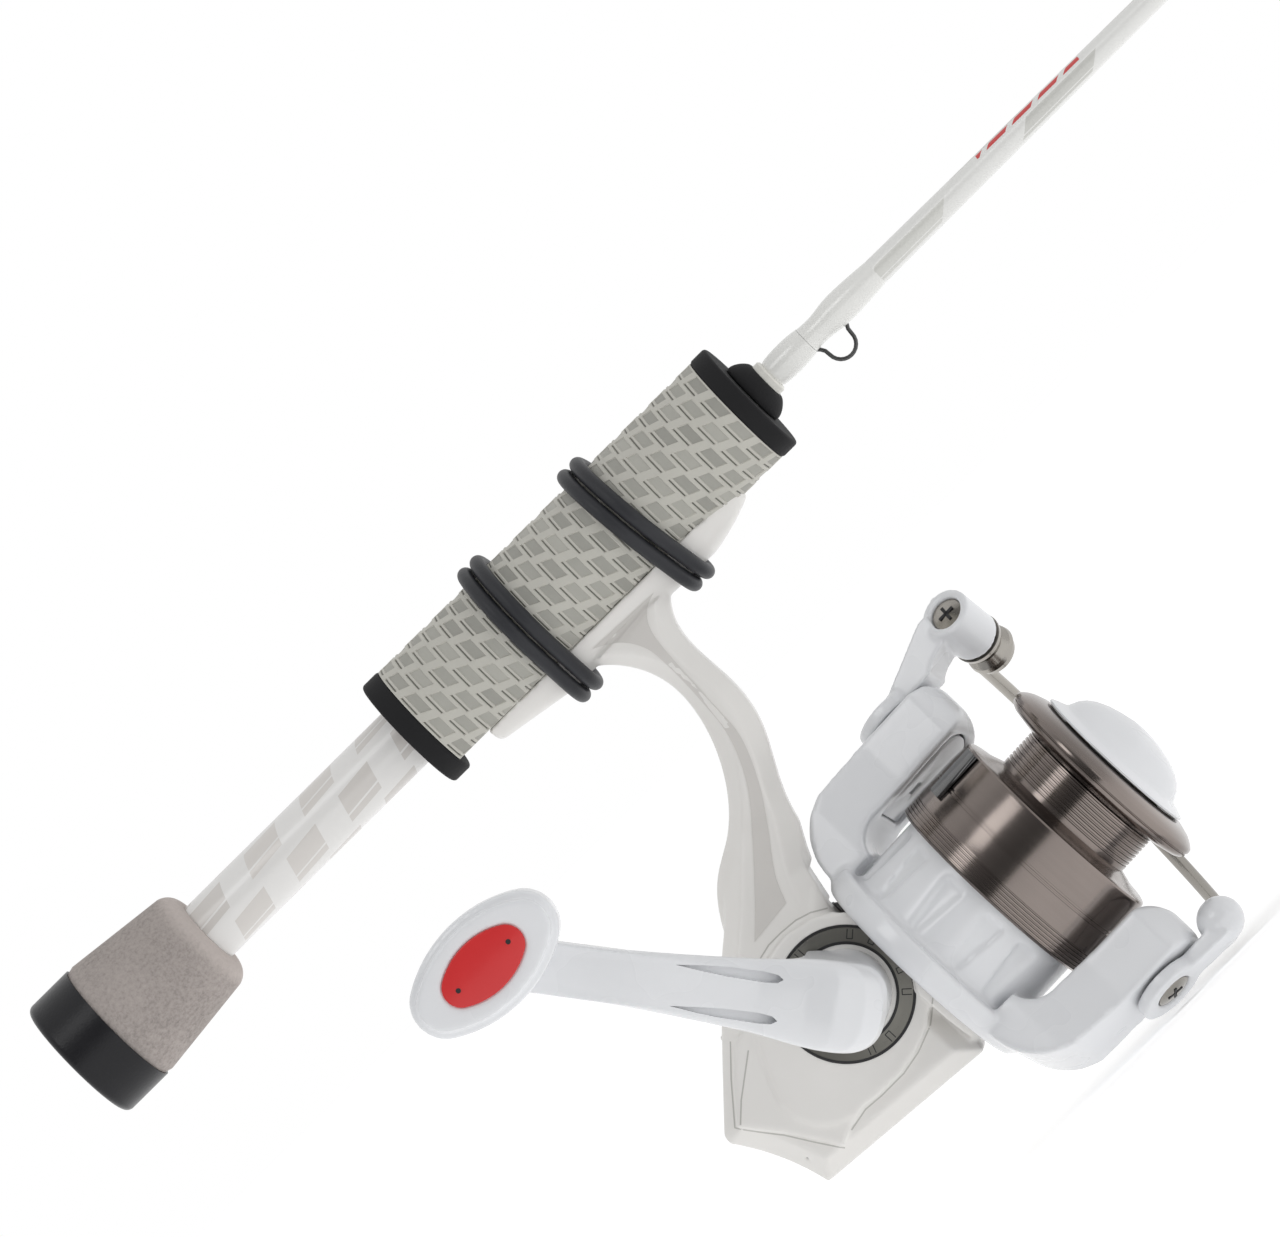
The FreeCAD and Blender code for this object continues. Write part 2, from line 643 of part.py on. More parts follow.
def octagon(body, rear, front, half):
    """Eight-sided section: a flat side between two bevels, with a narrower edge front and rear."""
    across = FreeCAD.Vector(front[0] - rear[0], front[1] - rear[1], 0)
    width = across.Length
    across.normalize()
    sideways = FreeCAD.Vector(0, 0, -1)
    turn = FreeCAD.Rotation(across, sideways, across.cross(sideways), "ZXY")
    sketch = new_sketch(body, "XZ_Plane", FreeCAD.Placement(FreeCAD.Vector(rear[0], rear[1], 0), turn))
    bevel = value("stem_bevel") * (0.7 + 0.06 * half)
    edge = half - bevel
    outline(sketch, [(0, -edge), (0, edge), (bevel, half), (width - bevel, half), (width, edge),
                     (width, -edge), (width - bevel, -half), (bevel, -half)])
    return sketch


def make_loft(body, stations, ruled):
    sketches = [octagon(body, *station) for station in stations]
    loft = body.newObject("PartDesign::AdditiveLoft", body.Label + "_loft")
    loft.Profile = sketches[0]
    loft.Sections = sketches[1:]
    loft.Ruled = ruled


def make_housing():
    body = node(new_body("reel_housing"))
    make_foot(body)
    make_loft(body, STEM, False)
    make_loft(body, SHOULDER, True)
    faceted(body, CASE, "case_half", "case_bevel")
    # round panel under the crank
    sketch = new_sketch(body, "XZ_Plane", reel_offset(value("boss_face") - 3))
    circle(sketch, "-crank_back", "crank_lift", "boss_radius")
    extrude(body, sketch, 3)
    # neck and nose that carry the pinion
    spin(body, [
        (-40, 0), ("nose_front", 0), ("nose_front", "nose_radius - 0.8"),
        ("nose_front - 0.8", "nose_radius"), ("neck_front", "nose_radius"),
        ("neck_front", "neck_radius - 1.5"), ("neck_front - 1.5", "neck_radius", 1.5),
        (-34.3, "neck_radius"), (-34.3, 9.7), (-40, 9.7)], offset=reel_offset())
    # flat for the bezel on the side of the neck
    reel_cut(body, ("-crank_back", "crank_lift", "bezel_radius + fit_gap"), -value("boss_face"), 8)
    cut_rotor_sweep(body, reel_offset())
    # gear space, open towards the side cover
    reel_cut(body, CAVITY, 12, "12 + 8.4")
    reel_cut(body, ("-crank_back", "crank_lift", "14.4"), 12, "12 - 1.3")
    # crank bearing seat and hole in the crank-side wall
    reel_cut(body, ("-crank_back", "crank_lift", "bearing_radius + fit_gap"), 0, "boss_face - 0.6")
    reel_cut(body, ("-crank_back", "crank_lift", "4.2"), 0, "boss_face + 2")
    # stepped bore for pinion, bearing and clutch
    spin(body, [
        (-38, 0), (-38, 3.2), (-28.2, 3.2), (-28.2, "bearing_radius + fit_gap"),
        (-25.5, "bearing_radius + fit_gap"), (-25.5, 6.4), (-20, 6.4), (-20, 0)],
        cut=True, offset=reel_offset())
    spin(body, [(-36, 0), (-36, 2.7), (-35.2, 2.7), (-35.2, 0)], cut=True, offset=reel_offset())


def make_side_cover():
    """Plate over the gear space, with a collar for the far crank bearing."""
    body = node(new_body("side_cover"))
    outer = [(84.6, -66.2), (101.8, -66.2), (103, -96.9), (76.3, -94.8), (70.6, -83.2, 38), (70.8, -81.6)]
    sketch = new_sketch(body, "XZ_Plane", shift(-9.85 - value("cover_height")))
    outline(sketch, outer)
    extrude(body, sketch, "cover_height")
    collar = new_sketch(body, "XZ_Plane", reel_offset(-12.6))
    circle(collar, "-crank_back", "crank_lift", 8)
    extrude(body, collar, 12.6 - 5.6)
    reel_cut(body, ("-crank_back", "crank_lift", "bearing_radius + fit_gap"), 8.05, 4)
    reel_cut(body, ("-crank_back", "crank_lift", "4.2"), 14, 10)
    for x, z in COVER_SCREWS:
        disc(body, x, z, 1.25, 6, at=-8, cut=True, reverse=False)
    cut_rotor_sweep(body, reel_offset())


COVER_SCREWS = [(74.2, -82.4), (80.4, -92.4), (99.5, -93.8)]


def make_cover_screws():
    screws = []
    for index, (x, z) in enumerate(COVER_SCREWS, 1):
        body = new_body("cover_screw_%d" % index, turned(x, 11.55, z, (0, 0, 1), 90))
        spin(body, [(-1.7, 0), (1.0, 0), (0.5, 2.1, 3.2), (0, 2.1), (0, 1.2), (-1.7, 1.2)])
        screws.append(body)
    node(group("cover_screws", screws))


def crank_frame(depth, outward=True):
    """Frame on the crank axis with X along the axis, out of the housing or towards its far side."""
    side = -1 if outward else 1
    return REEL.multiply(turned(-value("crank_back"), side * depth, value("crank_lift"),
                                (0, 0, 1), 90 * side))


def make_fixed_reel_parts():
    turned_piece("handle_hole_cap", [
        (-3.2, 0), (1.8, 0), (1.4, 4.8, 12), (0.6, 6.2), (0, 6.2), (0, 4.1), (-3.2, 4.1)],
        crank_frame(12.65, outward=False))
    turned_piece("bezel_ring", [
        (0, "bezel_bore"), ("bezel_height", "bezel_bore + 0.3"), ("bezel_height", "bezel_radius - 0.5"),
        ("bezel_height - 0.4", "bezel_radius"), (0, "bezel_radius")],
        crank_frame(value("boss_face") + 0.02))
    bearings = []
    for index, (place, outward) in enumerate(((value("boss_face") - 3.25, True), (5.4, False)), 1):
        bearing = new_body("crank_bearing_%d" % index, crank_frame(place, outward))
        spin(bearing, bearing_outline("drive_shaft_radius + running_gap"))
        bearings.append(bearing)
    node(group("crank_bearings", bearings))
    turned_piece("pinion_bearing", bearing_outline("pinion_shank + running_gap"),
                 REEL.multiply(turned(-28.15, 0, 0, (1, 0, 0), 0)))
    turned_piece("one_way_clutch", [
        (-25.45, "pinion_shank + running_gap"), (-21.9, "pinion_shank + running_gap"),
        (-21.9, 6.3), (-25.45, 6.3)], REEL)


def bearing_outline(bore):
    """Ball bearing with the faces between its two races set back."""
    width = "bearing_width"
    return [
        (0, bore), (width, bore), (width, bore + " + 0.5"), (width + " - 0.3", bore + " + 0.7"),
        (width + " - 0.3", "bearing_radius - 0.7"), (width, "bearing_radius - 0.6"),
        (width, "bearing_radius"), (0, "bearing_radius")]


# ---------------------------------------------------------------- gears

def crown_reach():
    """Distance along the pinion from the foot of the crown gear's centre to the middle of the mesh."""
    return value("drive_teeth / pinion_teeth * pinion_radius")


def add_spur_teeth(body, teeth, module, start, width, first_tooth, backlash):
    """Spur teeth round the body's X axis; first_tooth is the angle of one tooth, in radians, from +Y."""
    pitch_radius = teeth * module / 2
    root = pitch_radius - 1.25 * module - 0.1
    tip = pitch_radius + module * 0.95
    half_pitch = math.pi * module / 4 - backlash / 2
    corners = [(root, half_pitch * 1.65), (pitch_radius, half_pitch), (tip, half_pitch * 0.45)]
    ring = corners + [(radius, -half) for radius, half in reversed(corners)]
    turn = FreeCAD.Rotation(FreeCAD.Vector(0, 0, 1), math.degrees(first_tooth))
    sketch = new_sketch(body, "YZ_Plane", FreeCAD.Placement(FreeCAD.Vector(0, 0, start), turn))
    outline(sketch, ring)
    tooth = extrude(body, sketch, width)
    repeat_round(body, tooth, teeth, "X_Axis")


def oscillation_offset():
    """Oscillation gear's axis from the crank axis, backwards and down, in the reel frame."""
    distance = value("cross_module * (slow_teeth + cross_teeth) / 2")
    drop = value("cross_drop")
    return -math.sqrt(distance ** 2 - drop ** 2), -drop


def make_drive_gear():
    """Crown gear: its straight teeth lie parallel to the pinion, which passes beside its centre."""
    body = node(new_body("drive_gear", crank_frame(0)))
    reach = crown_reach()
    half_face = value("tooth_face") / 2
    outer = math.hypot(reach + half_face, value("crank_lift"))
    module = value("2 * pinion_radius / pinion_teeth")
    clearance = 0.12
    root = -(value("pinion_radius") + module + clearance)
    tip = -(value("pinion_radius") - 1.25 * module + clearance)
    back = root - 1.6
    shaft = "drive_shaft_radius"
    spin(body, [
        (-8, 2.2), (9.6, 2.2), (9.6, shaft), (root + 0.9, shaft), (root, shaft + " + 1.2"),
        (root - 0.6, shaft + " + 2"), (root - 0.6, outer - 3.2), (root, outer - 2.6), (root, outer),
        (back + 0.4, outer), (back, outer - 0.6), (back, shaft), (-8, shaft)])
    pitch = 2 * math.pi * reach / value("drive_teeth")
    middle = -value("crank_lift")
    sketch = new_sketch(body, "XZ_Plane", shift(half_face - reach))
    outline(sketch, [
        (root - 0.05, middle - 0.33 * pitch), (tip, middle - 0.09 * pitch),
        (tip, middle + 0.09 * pitch), (root - 0.05, middle + 0.33 * pitch)])
    tooth = extrude(body, sketch, "tooth_face", reverse=True)
    repeat_round(body, tooth, int(value("drive_teeth")), "X_Axis")
    towards = math.atan2(oscillation_offset()[1], oscillation_offset()[0])
    hub = value("cross_module * slow_teeth / 2 - 1.25 * cross_module")
    spin(body, [(4.9, 3), (6.9, 3), (6.9, hub), (4.9, hub)])
    add_spur_teeth(body, int(value("slow_teeth")), value("cross_module"), 4.9, 2, towards, 0.24)


def make_pinion():
    """Brass pinion on the main shaft: teeth, then the plain shank that carries the rotor."""
    body = node(new_body("pinion", REEL))
    bore = "main_shaft_radius + running_gap"
    module = value("2 * pinion_radius / pinion_teeth")
    root = value("pinion_radius") - 1.25 * module
    spin(body, [
        (-34.8, bore), (-16.2, bore), (-16.2, "pinion_shank - 0.3"), (-16.5, "pinion_shank"),
        (-28.7, "pinion_shank"), (-29.2, root + 0.4), (-29.2, root), (-34.8, root)])
    gap = math.pi / value("pinion_teeth")
    add_spur_teeth(body, int(value("pinion_teeth")), module, -33.4, 4.2, gap, 0.1)


def make_oscillation():
    back, down = oscillation_offset()
    gear = node(new_body("oscillation_gear", crank_frame(0).multiply(turned(0, back, down, (1, 0, 0), 0))))
    root = value("cross_module * cross_teeth / 2 - 1.25 * cross_module")
    spin(gear, [(4.9, 1.5), (6.9, 1.5), (6.9, root), (4.9, root)])
    throw = value("spool_stroke") / 2
    sketch = new_sketch(gear, "YZ_Plane", shift(4))
    circle(sketch, -throw, 0, 1.2)
    extrude(gear, sketch, 1.5)
    teeth = int(value("cross_teeth"))
    gap = math.atan2(-down, -back) + math.pi / teeth
    add_spur_teeth(gear, teeth, value("cross_module"), 4.9, 2, gap, 0.24)
    slider = node(new_body("oscillation_slider", REEL))
    pin = -value("crank_back") + back - throw
    height = value("crank_lift") + down
    pad(slider, [(pin - 3.2, height - 6), (pin - 3.2, height + 6), (pin + 3.2, height + 6),
                 (pin + 3.2, height - 6)], 5.2, at=-1.3)
    pad(slider, [(pin - 1.3, height - 4.8), (pin - 1.3, height + 4.8), (pin + 1.3, height + 4.8),
                 (pin + 1.3, height - 4.8)], 2, at=1.9, cut=True, reverse=True)
    spin(slider, [(pin + 1, 0), (pin + 5, 0), (pin + 5, 0.85), (pin + 1, 0.85)], cut=True)
    shaft_end = pin + 3.25
    turned_piece("main_shaft", [
        (shaft_end - 2, 0), (16, 0), (16, "main_shaft_radius"), (-9.2, "main_shaft_radius"),
        (-9.2, 3), (-10.4, 3), (-10.4, "main_shaft_radius"), (shaft_end, "main_shaft_radius"),
        (shaft_end, 0.8), (shaft_end - 2, 0.8)], REEL)


# ---------------------------------------------------------------- rotor

ARM_SIDE = [
    (-31.4, 16.8), (-31.2, 20.6), (-22.6, 30.2, -11.5), (-12, "arm_outside"), (0.6, "arm_outside"),
    (2.6, "arm_outside - 2", -2.2), (2.6, 24.6), (-1.4, 21.4, -4.4), (-19.5, "arm_inside"),
    (-24, 17, 5), (-24, 16.8)]


def make_rotor():
    """Bowl round the housing's neck with two arms that carry the bail."""
    body = node(new_body("rotor", ROTOR))
    for side in (ARM_SIDE, mirror_points(ARM_SIDE)):
        pad(body, side, "2 * arm_root_half", both=True)
    tip = "-pivot_back + sqrt(arm_tip_radius ^ 2 - arm_half ^ 2)"
    plan = new_sketch(body, "XY_Plane")
    outline(plan, [(-40, -20), (-40, 20), (10, 20), (10, -20)])
    outline(plan, [
        (-36, "arm_root_half"), (-25, "arm_root_half - 0.2"), (-12, "arm_half"), (tip, "arm_half"),
        (tip, "-arm_half", "-arm_tip_radius"), (-12, "-arm_half"), (-25, "-arm_root_half + 0.2"),
        (-36, "-arm_root_half")])
    extrude(body, plan, 90, cut=True, both=True)
    for start in (20, -20):
        channel = new_sketch(body, "XY_Plane", shift(start))
        outline(channel, [(-18.5, -4.7), (-18.5, 4.7), (-2.4, 4.7), (-2.4, -4.7, -7)])
        extrude(body, channel, 6.5, cut=True, reverse=start > 0)
        hole = new_sketch(body, "XY_Plane", shift(start))
        circle(hole, "-pivot_back", 0, 1.6)
        extrude(body, hole, 15, cut=True, reverse=start > 0)
    spin(body, [
        ("rim_rear", 18.2), ("rim_rear", 19), ("rim_rear + 2", "rim_radius", -2.6),
        ("rim_front", "rim_radius"), ("rim_front", "hub_radius + 0.8"), ("rim_front + 0.8", "hub_radius"),
        (-9, "hub_radius"), (-9, "hub_radius - 1.5"), (-19.2, "hub_radius - 1.5"), (-19.2, 6),
        (-19.2, "pinion_shank + fit_gap"), (-21.4, "pinion_shank + fit_gap"), (-21.4, "hub_radius - 1.4"),
        (-29.5, "hub_radius - 1.3"), (-31, 16.4)])
    return body


def make_rotor_recess(body):
    """Long tapered recesses round the bowl between the spool skirt and the rim."""
    for middle in (35, 60, 90, 120, 145):
        for side in (1, -1):
            angle = math.radians(middle) * side
            turn = FreeCAD.Rotation(FreeCAD.Vector(1, 0, 0), math.degrees(angle))
            sketch = new_sketch(body, "XY_Plane", FreeCAD.Placement(turn.multVec(FreeCAD.Vector(0, 0, 16.5)), turn))
            outline(sketch, [(-26.6, -0.9), (-26.6, 0.9, -0.9), (-17, 2.2), (-17, -2.2)])
            extrude(body, sketch, 4, cut=True, reverse=True)


def make_rotor_parts():
    turned_piece("rotor_nut", [
        (-19.1, "pinion_shank + fit_gap"), (-16.4, "pinion_shank + fit_gap"), (-16.4, 4.6), (-16.8, 5),
        (-19.1, 5)], REEL)
    screws = []
    for label, side in (("left", 1), ("right", -1)):
        cover = node(new_body("arm_cover_" + label, ROTOR))
        sketch = new_sketch(cover, "XY_Plane", shift(side * 21.6))
        outline(sketch, [(-18.4, -4.6), (-18.4, 4.6), (-2.6, 4.6), (-2.6, -4.6, -7)])
        extrude(cover, sketch, 1.2, reverse=side < 0)
        slot = new_sketch(cover, "XY_Plane", shift(side * 21))
        outline(slot, [(-13.2, -0.5), (-13.2, 0.5), (-11, 0.5), (-11, -0.5, -0.6)])
        extrude(cover, slot, 4, cut=True, reverse=side > 0)
        screw = new_body("pivot_screw_" + label, ROTOR.multiply(
            turned(-value("pivot_back"), 0, 0, (0, 1, 0), -90 * side)))
        spin(screw, [(26.8, 0), (34, 0), (33.6, 3.1, 9), (32.7, 3.1), (32.7, 1.5), (26.8, 1.5)])
        screws.append(screw)
    node(group("pivot_screws", screws))
    spring = node(new_body("bail_spring", ROTOR.multiply(
        turned(-value("pivot_back"), 0, 24.4, (0, 0, 1), 0))))
    coil = new_sketch(spring, "XZ_Plane")
    circle(coil, "spring_radius", 0, "spring_wire")
    ring = spring.newObject("PartDesign::Revolution", "bail_spring_coil")
    ring.Profile = coil
    ring.ReferenceAxis = (coil, ["V_Axis"])
    ring.Angle = 360
    leg = new_sketch(spring, "YZ_Plane", shift(-10.5))
    circle(leg, "spring_radius", 0, "spring_wire - 0.05")
    extrude(spring, leg, 10.5)


# ---------------------------------------------------------------- bail

HEAD_TILT = math.radians(25)
HEAD_FACE = FreeCAD.Vector(12, -4.5, 36.7)
HEAD_LENGTH = 9.2
ROLLER_START = 9.6
ROLLER_WIDTH = 4.2
SEAT_START = 14.2
HEAD_AXIS = FreeCAD.Vector(0, math.cos(HEAD_TILT), -math.sin(HEAD_TILT))


def head_frame(distance=0):
    """Frame on the line roller's axis, measured from the screw face of the lever's head."""
    turn = FreeCAD.Rotation(FreeCAD.Vector(1, 0, 0), HEAD_AXIS)
    return ROTOR.multiply(FreeCAD.Placement(HEAD_FACE + HEAD_AXIS * distance, turn))


def head_sketch(body, distance):
    """Sketch across the head's axis, in the rotor frame, facing the screw."""
    spot = HEAD_FACE + HEAD_AXIS * distance
    return new_sketch(body, "XZ_Plane", FreeCAD.Placement(
        FreeCAD.Vector(spot.x, spot.z, -spot.y),
        FreeCAD.Rotation(FreeCAD.Vector(1, 0, 0), -math.degrees(HEAD_TILT))))


def lever_base(body, side):
    """Round pivot plate with its countersunk hole, outside the arm."""
    plate = new_sketch(body, "XY_Plane", shift(side * value("lever_inner")))
    circle(plate, "-pivot_back", 0, 6.2)
    extrude(body, plate, 2.3, reverse=side < 0)


def lever_holes(body, side):
    for radius, start in ((1.55, 30), (3.25, value("lever_inner") + 1.1)):
        hole = new_sketch(body, "XY_Plane", shift(side * start))
        circle(hole, "-pivot_back", 0, radius)
        extrude(body, hole, 8, cut=True, reverse=side > 0)


def make_levers():
    left = node(new_body("bail_lever_left", ROTOR))
    lever_base(left, 1)
    pad(left, [
        (-9.5, "lever_inner"), (-9.5, 33.2), (-4, 34.3), (6.4, 38.4), (9.4, 38.9, -6), (9.4, 33.6),
        (5.6, 32.8), (3.4, "lever_inner", 4)], 9, both=True)
    head = head_sketch(left, HEAD_LENGTH)
    circle(head, 0, 0, "head_radius")
    extrude(left, head, HEAD_LENGTH)
    lever_holes(left, 1)
    for radius, depth, start in ((2.85, 2, 0), (1.3, HEAD_LENGTH + 2, -1)):
        hole = head_sketch(left, start)
        circle(hole, 0, 0, radius)
        extrude(left, hole, depth, cut=True)
    right = node(new_body("bail_lever_right", ROTOR))
    lever_base(right, -1)
    pad(right, mirror_points([
        (-9.5, "lever_inner"), (-9.5, 33.2), (-2, 34), (6.8, 34.6), (6.8, 31), (3.6, "lever_inner")]),
        6.4, both=True)
    ball = FreeCAD.Placement(FreeCAD.Vector(6.9, -31.2, 0), FreeCAD.Rotation())
    spin(right, [(3.9, 0), (0, 3.9, 3.9), (-3.9, 0, 3.9)], offset=ball)
    disc(right, 6.9, -31.15, "wire_radius + 0.1", 5, at=-6.6, cut=True, reverse=True)
    lever_holes(right, -1)
    turned_piece("line_roller", [
        (0, 1.32), (ROLLER_WIDTH, 1.32), (ROLLER_WIDTH, "roller_radius"),
        (ROLLER_WIDTH - 0.8, "roller_radius - 0.15"), (ROLLER_WIDTH / 2, "roller_radius - 0.9"),
        (0.8, "roller_radius - 0.15"), (0, "roller_radius")], head_frame(ROLLER_START))
    turned_piece("roller_screw", [
        (0.4, 0), (SEAT_START + 1.2, 0), (SEAT_START + 1.2, 1.25), (1.95, 1.25), (1.95, 2.7), (0.7, 2.7)],
        head_frame())


def make_bail_wire():
    """Wire hoop from the roller seat round to the ball of the other lever."""
    seat_middle = HEAD_FACE + HEAD_AXIS * (SEAT_START + 0.8)
    start = seat_middle + FreeCAD.Vector(-3, 0, 0)
    middle = FreeCAD.Vector(7.2, 33.2, 0)
    end = FreeCAD.Vector(6.9, 1.8, -31.15)
    circle_through = Part.Arc(start, middle, end).toShape().Curve
    centre = circle_through.Center
    normal = (start - centre).cross(middle - centre).normalize()
    first = (start - centre).normalize()
    frame = FreeCAD.Placement(centre, FreeCAD.Rotation(first, normal.cross(first), normal, "ZXY"))
    hoop = new_body("bail_hoop", ROTOR.multiply(frame))
    local_end = frame.inverse().multVec(end)
    sweep = math.degrees(math.atan2(local_end.y, local_end.x)) % 360
    section = new_sketch(hoop, "XZ_Plane")
    circle(section, circle_through.Radius, 0, "wire_radius")
    feature = hoop.newObject("PartDesign::Revolution", "bail_hoop_turn")
    feature.Profile = section
    feature.ReferenceAxis = (section, ["V_Axis"])
    feature.Angle = sweep
    seat = new_body("bail_roller_seat", head_frame(SEAT_START))
    spin(seat, [(0, 1.3), (1.6, 1.3), (1.6, 2.4), (1, 3.7), (0, 3.9)])
    fused = doc.addObject("Part::MultiFuse", "bail_wire")
    fused.Label = "bail_wire"
    fused.Shapes = [hoop, seat]
    node(fused)


# ---------------------------------------------------------------- spool, drag and crank

def make_spool():
    inside = "skirt_inside"
    turned_piece("spool_skirt", [
        ("skirt_rear", inside), (-3, inside), (-3, 4.4), (-9, 4.4), (-9, "main_shaft_radius + fit_gap"),
        (0, "main_shaft_radius + fit_gap"), (0, "arbor_radius"), (1.4, "arbor_radius"),
        (0.2, "skirt_front_radius - 0.8", -9), (-0.4, "skirt_front_radius"),
        ("skirt_rear + 0.3", "skirt_radius"), ("skirt_rear", "skirt_radius - 0.3")], REEL)
    turned_piece("spool_arbor", [
        (0.02, "main_shaft_radius + fit_gap"), (3, "main_shaft_radius + fit_gap"), (3, 8.6), (12, 8.6),
        (12, 10), ("lip_rear", 10), ("lip_rear", "arbor_radius"), (1.42, "arbor_radius"),
        (1.42, "arbor_radius - 0.3"), (0.02, "arbor_radius - 0.3")], REEL)
    turned_piece("spool_lip", [
        ("lip_rear + 0.02", 10.05), (12.8, 10.05), (13.4, 13.4), (12.4, 17), (11.2, "lip_radius"),
        (10.2, "lip_radius"), (9.1, "lip_radius - 0.9"), ("lip_rear + 0.02", "arbor_radius")], REEL)
    washers = []
    for index in range(4):
        washer = new_body("drag_washer_%d" % (index + 1), REEL.multiply(
            turned(3.05 + index * 1.05, 0, 0, (1, 0, 0), 0)))
        spin(washer, [(0, 1.6), (1, 1.6), (1, 8.4), (0, 8.4)])
        washers.append(washer)
    node(group("drag_washers", washers))
    clip = node(new_body("line_clip", REEL.multiply(turned(0, 0, 0, (1, 0, 0), 12))))
    sketch = new_sketch(clip, "YZ_Plane", shift(-9.5))
    outline(sketch, [(-2, 19.16), (2, 19.16, -19.26), (2, 19.7), (-2, 19.7, 20)])
    extrude(clip, sketch, 9)
    knob = node(new_body("drag_knob", REEL))
    spin(knob, [
        (7.4, "main_shaft_radius + fit_gap"), (16.2, "main_shaft_radius + fit_gap"), (16.2, 0), (18, 0),
        (17.4, 8), (15.9, 10.4, 6), (14.2, 12), (13.6, 14.2, 3), (13.45, 13.4), (13, 9.4), (12, 9.4),
        (12, 8.2), (10.5, 8.2), (10.5, 4), (7.4, 4)])
    grip = new_sketch(knob, "YZ_Plane", shift(16.5))
    corners = 6
    outline(grip, [(8.2 * math.cos(math.radians(60 * step + 12)), 8.2 * math.sin(math.radians(60 * step + 12)))
                   for step in range(corners)])
    extrude(knob, grip, 4, taper=-24)


def arm_frame():
    """X along the crank arm from hub to knob, Z out of the housing, from the panel's face."""
    turn = value("crank_turn")
    along = FreeCAD.Vector(math.cos(math.radians(turn)), 0, math.sin(math.radians(turn)))
    out = FreeCAD.Vector(0, -1, 0)
    axis = crank_frame(value("boss_face")).Base
    return FreeCAD.Placement(axis, FreeCAD.Rotation(along, out.cross(along), out, "ZXY"))


def make_crank():
    body = node(new_body("crank_arm", arm_frame()))
    pad(body, [
        ("-crank_hub_radius", 2), ("crank_hub_radius", 2), ("crank_hub_radius", 9),
        (15.5, 25.6, -21), (57, 36.6), (61, 37.4), (61, 40.8), (56, 41.2), (13, 30.2),
        ("-crank_hub_radius", 11, 23)], 16, both=True)
    plan = new_sketch(body, "XY_Plane")
    outline(plan, [(-30, -30), (-30, 30), (90, 30), (90, -30)])
    outline(plan, [
        (0, "crank_hub_radius", "-crank_hub_radius"), (12, 5.2), (24, 4.3), (50, 4.2),
        ("crank_length", 4.8), ("crank_length", -4.8, -4.8), (50, -4.2), (24, -4.3), (12, -5.2),
        (0, "-crank_hub_radius")])
    extrude(body, plan, 200, cut=True, both=True)
    disc(body, 0, 0, "crank_hub_radius", 2.7, plane="XY_Plane", at=0.3)
    for side in (1, -1):
        groove = new_sketch(body, "XZ_Plane", shift(side * 3.4 - 0.35))
        outline(groove, [(11, 28.9), (29, 34), (29, 37), (11, 36)])
        extrude(body, groove, 0.7, cut=True, reverse=True)
    disc(body, 0, 0, 2.25, 20, plane="XY_Plane", cut=True, reverse=True)
    disc(body, "crank_length", 0, 1.6, 20, plane="XY_Plane", at=30, cut=True, reverse=True)
    turned_piece("crank_spindle", [(-8, 0), (18, 0), (18, 2.15), (-8, 2.15)],
                 crank_frame(value("boss_face")))


def oval(half_length, half_width, end_radius):
    """Four-arc oval with its long axis along the sketch's x axis."""
    reach = half_length - end_radius
    drop = (reach ** 2 - (half_width - end_radius) ** 2) / (2 * (half_width - end_radius))
    side_radius = half_width + drop
    share = end_radius / (side_radius - end_radius)
    x = reach + reach * share
    y = drop * share
    return [(x, y, side_radius * -1), (x, -y, -end_radius), (-x, -y, -side_radius), (-x, y, -end_radius)]


def make_knob():
    base = arm_frame()
    spot = base.multVec(FreeCAD.Vector(value("crank_length"), 0, 41.5))
    out = FreeCAD.Vector(0, -1, 0)
    along = FreeCAD.Vector(1, 0, 0)
    frame = FreeCAD.Placement(spot, FreeCAD.Rotation(along, out.cross(along), out, "ZXY"))
    knob = node(new_body("crank_knob", frame))
    for length, inset, start in ((6, 0, 2.5), (2.5, 1.2, 0), (10.5, 1.2, 0)):
        sketch = new_sketch(knob, "XY_Plane", shift(start))
        outline(sketch, oval(14.25 - inset, 8.2 - inset, 5.8 - inset))
        extrude(knob, sketch, length)
    recess = new_sketch(knob, "XY_Plane", shift(9.9))
    outline(recess, oval(8.05, 4.55, 3.2))
    extrude(knob, recess, 3, cut=True, reverse=True)
    disc(knob, 0, 0, 1.65, 12, plane="XY_Plane", at=-1, cut=True, reverse=True)
    disc(knob, 0, 0, 3, 4, plane="XY_Plane", at=8, cut=True, reverse=True)
    inlay = node(new_body("knob_inlay", frame))
    plate = new_sketch(inlay, "XY_Plane", shift(9.92))
    outline(plate, oval(8, 4.5, 3.15))
    extrude(inlay, plate, 0.9)
    turned_piece("knob_post", [(-4.5, 0), (9.5, 0), (9.5, 2.8), (8.1, 2.8), (8.1, 1.6), (0, 1.6),
                               (0, 1.55), (-4.5, 1.55)],
                 FreeCAD.Placement(spot, FreeCAD.Rotation(FreeCAD.Vector(1, 0, 0), out)))


def make_all():
    make_handle()
    make_blank()
    make_hook_keeper()
    make_bands()
    make_guides()
    make_tip()
    make_housing()
    make_side_cover()
    make_cover_screws()
    make_fixed_reel_parts()
    make_drive_gear()
    make_pinion()
    make_oscillation()
    make_rotor_recess(make_rotor())
    make_rotor_parts()
    make_levers()
    make_bail_wire()
    make_spool()
    make_crank()
    make_knob()


def write_nodes():
    """Recompute, check every object and export one file for each node."""
    doc.recompute()
    problems = [
        item.Label for item in doc.Objects
        if any(state in ("Invalid", "Error") for state in item.State)]
    if problems:
        raise SystemExit("failed objects: " + ", ".join(problems))
    for item in NODES:
        if item.Shape.isNull() or not item.Shape.isValid():
            raise SystemExit("bad shape: " + item.Label)
    os.makedirs("parts", exist_ok=True)
    for item in NODES:
        item.Shape.exportStep(os.path.join("parts", item.Label + ".step"))


make_all()
write_nodes()
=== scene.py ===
import json
import math

